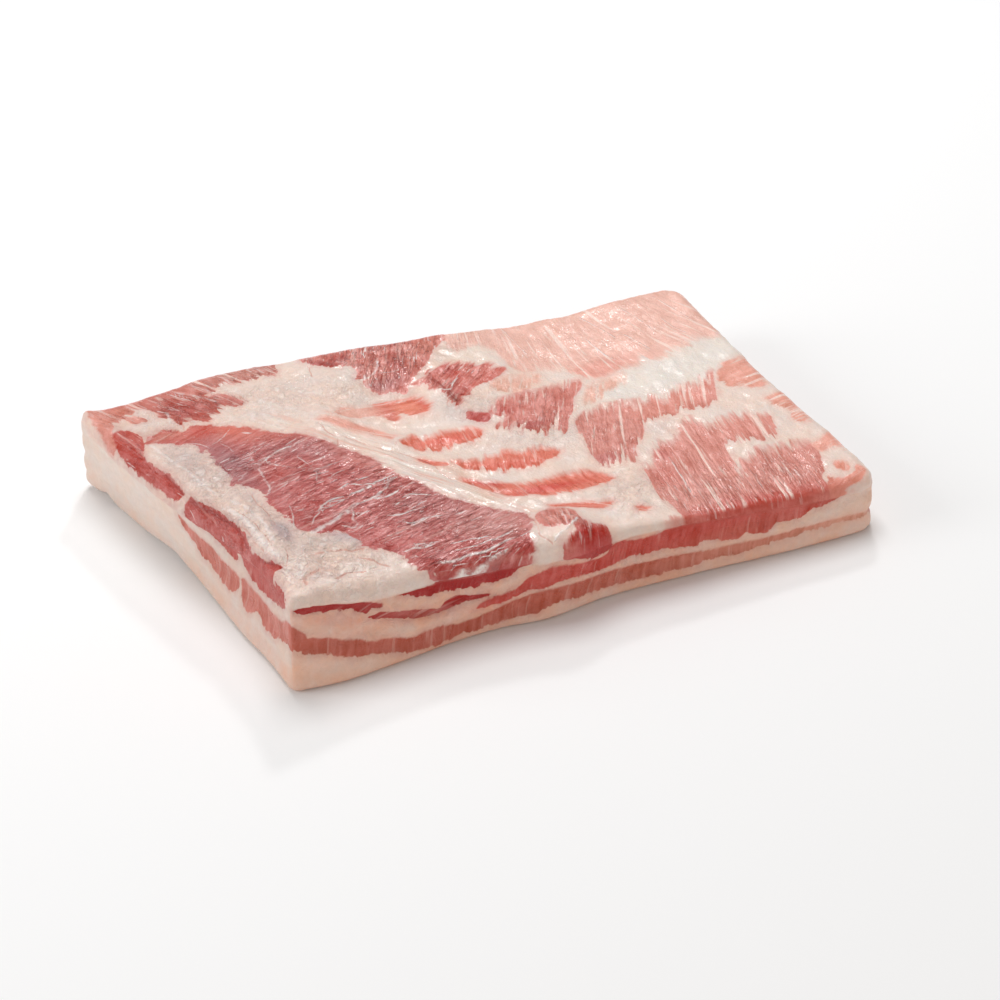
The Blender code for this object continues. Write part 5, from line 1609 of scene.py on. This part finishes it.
def pork_belly():
    """The one piece: the whole slab, in place of the solid."""
    slab = bpy.data.objects.new("pork_belly", slab_mesh())
    bpy.context.scene.collection.objects.link(slab)
    slab.data.materials.append(raw_pork())
    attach(slab, "root")
    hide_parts(NODE)
    return slab


# ---------------------------------------------------------------------------------------------------
# Studio
# ---------------------------------------------------------------------------------------------------


def floor():
    """A plain pale floor just under the slab."""
    grown = bmesh.new()
    bmesh.ops.create_grid(grown, x_segments=1, y_segments=1, size=FLOOR_HALF_SIZE)
    bmesh.ops.translate(grown, verts=grown.verts, vec=(0, 0, -FLOOR_GAP))
    mesh = bpy.data.meshes.new("floor")
    grown.to_mesh(mesh)
    grown.free()
    plane = bpy.data.objects.new("floor", mesh)
    bpy.context.scene.collection.objects.link(plane)
    n = Nodes("pale_floor")
    n.shader.inputs["Base Color"].default_value = (*FLOOR_COLOUR, 1.0)
    n.shader.inputs["Roughness"].default_value = 0.9
    n.shader.inputs["Specular IOR Level"].default_value = 0.1
    mesh.materials.append(n.material)


def towards(azimuth, elevation):
    """The unit vector from the slab towards a place round it: azimuth 0 is the front, 90 the thin end."""
    a, e = math.radians(azimuth), math.radians(elevation)
    return Vector((math.sin(a) * math.cos(e), -math.cos(a) * math.cos(e), math.sin(e)))


def soft_light(name, azimuth, elevation, distance, size, power, colour):
    lamp = bpy.data.lights.new(name, "AREA")
    lamp.shape = "SQUARE"
    lamp.size = size
    lamp.energy = power
    lamp.color = colour
    light = bpy.data.objects.new(name, lamp)
    bpy.context.scene.collection.objects.link(light)
    way = towards(azimuth, elevation)
    light.location = way * distance
    light.rotation_euler = way.to_track_quat("Z", "Y").to_euler()


def studio():
    floor()
    world = bpy.data.worlds.new("pale_room")
    world.use_nodes = True
    background = world.node_tree.nodes["Background"]
    background.inputs["Color"].default_value = (*ROOM_COLOUR, 1.0)
    background.inputs["Strength"].default_value = ROOM_STRENGTH
    scene = bpy.context.scene
    scene.world = world
    scene.view_settings.view_transform = "Standard"
    for light in LIGHTS:
        soft_light(*light)


def camera():
    lens = bpy.data.cameras.new("camera")
    lens.lens = CAMERA_LENS
    lens.sensor_width = SENSOR_WIDTH
    view = bpy.data.objects.new("camera", lens)
    bpy.context.scene.collection.objects.link(view)
    way = towards(CAMERA_AZIMUTH, CAMERA_ELEVATION)
    view.location = Vector(CAMERA_AIM) + way * CAMERA_DISTANCE
    view.rotation_euler = way.to_track_quat("Z", "Y").to_euler()
    bpy.context.scene.camera = view


pork_belly()
studio()
camera()
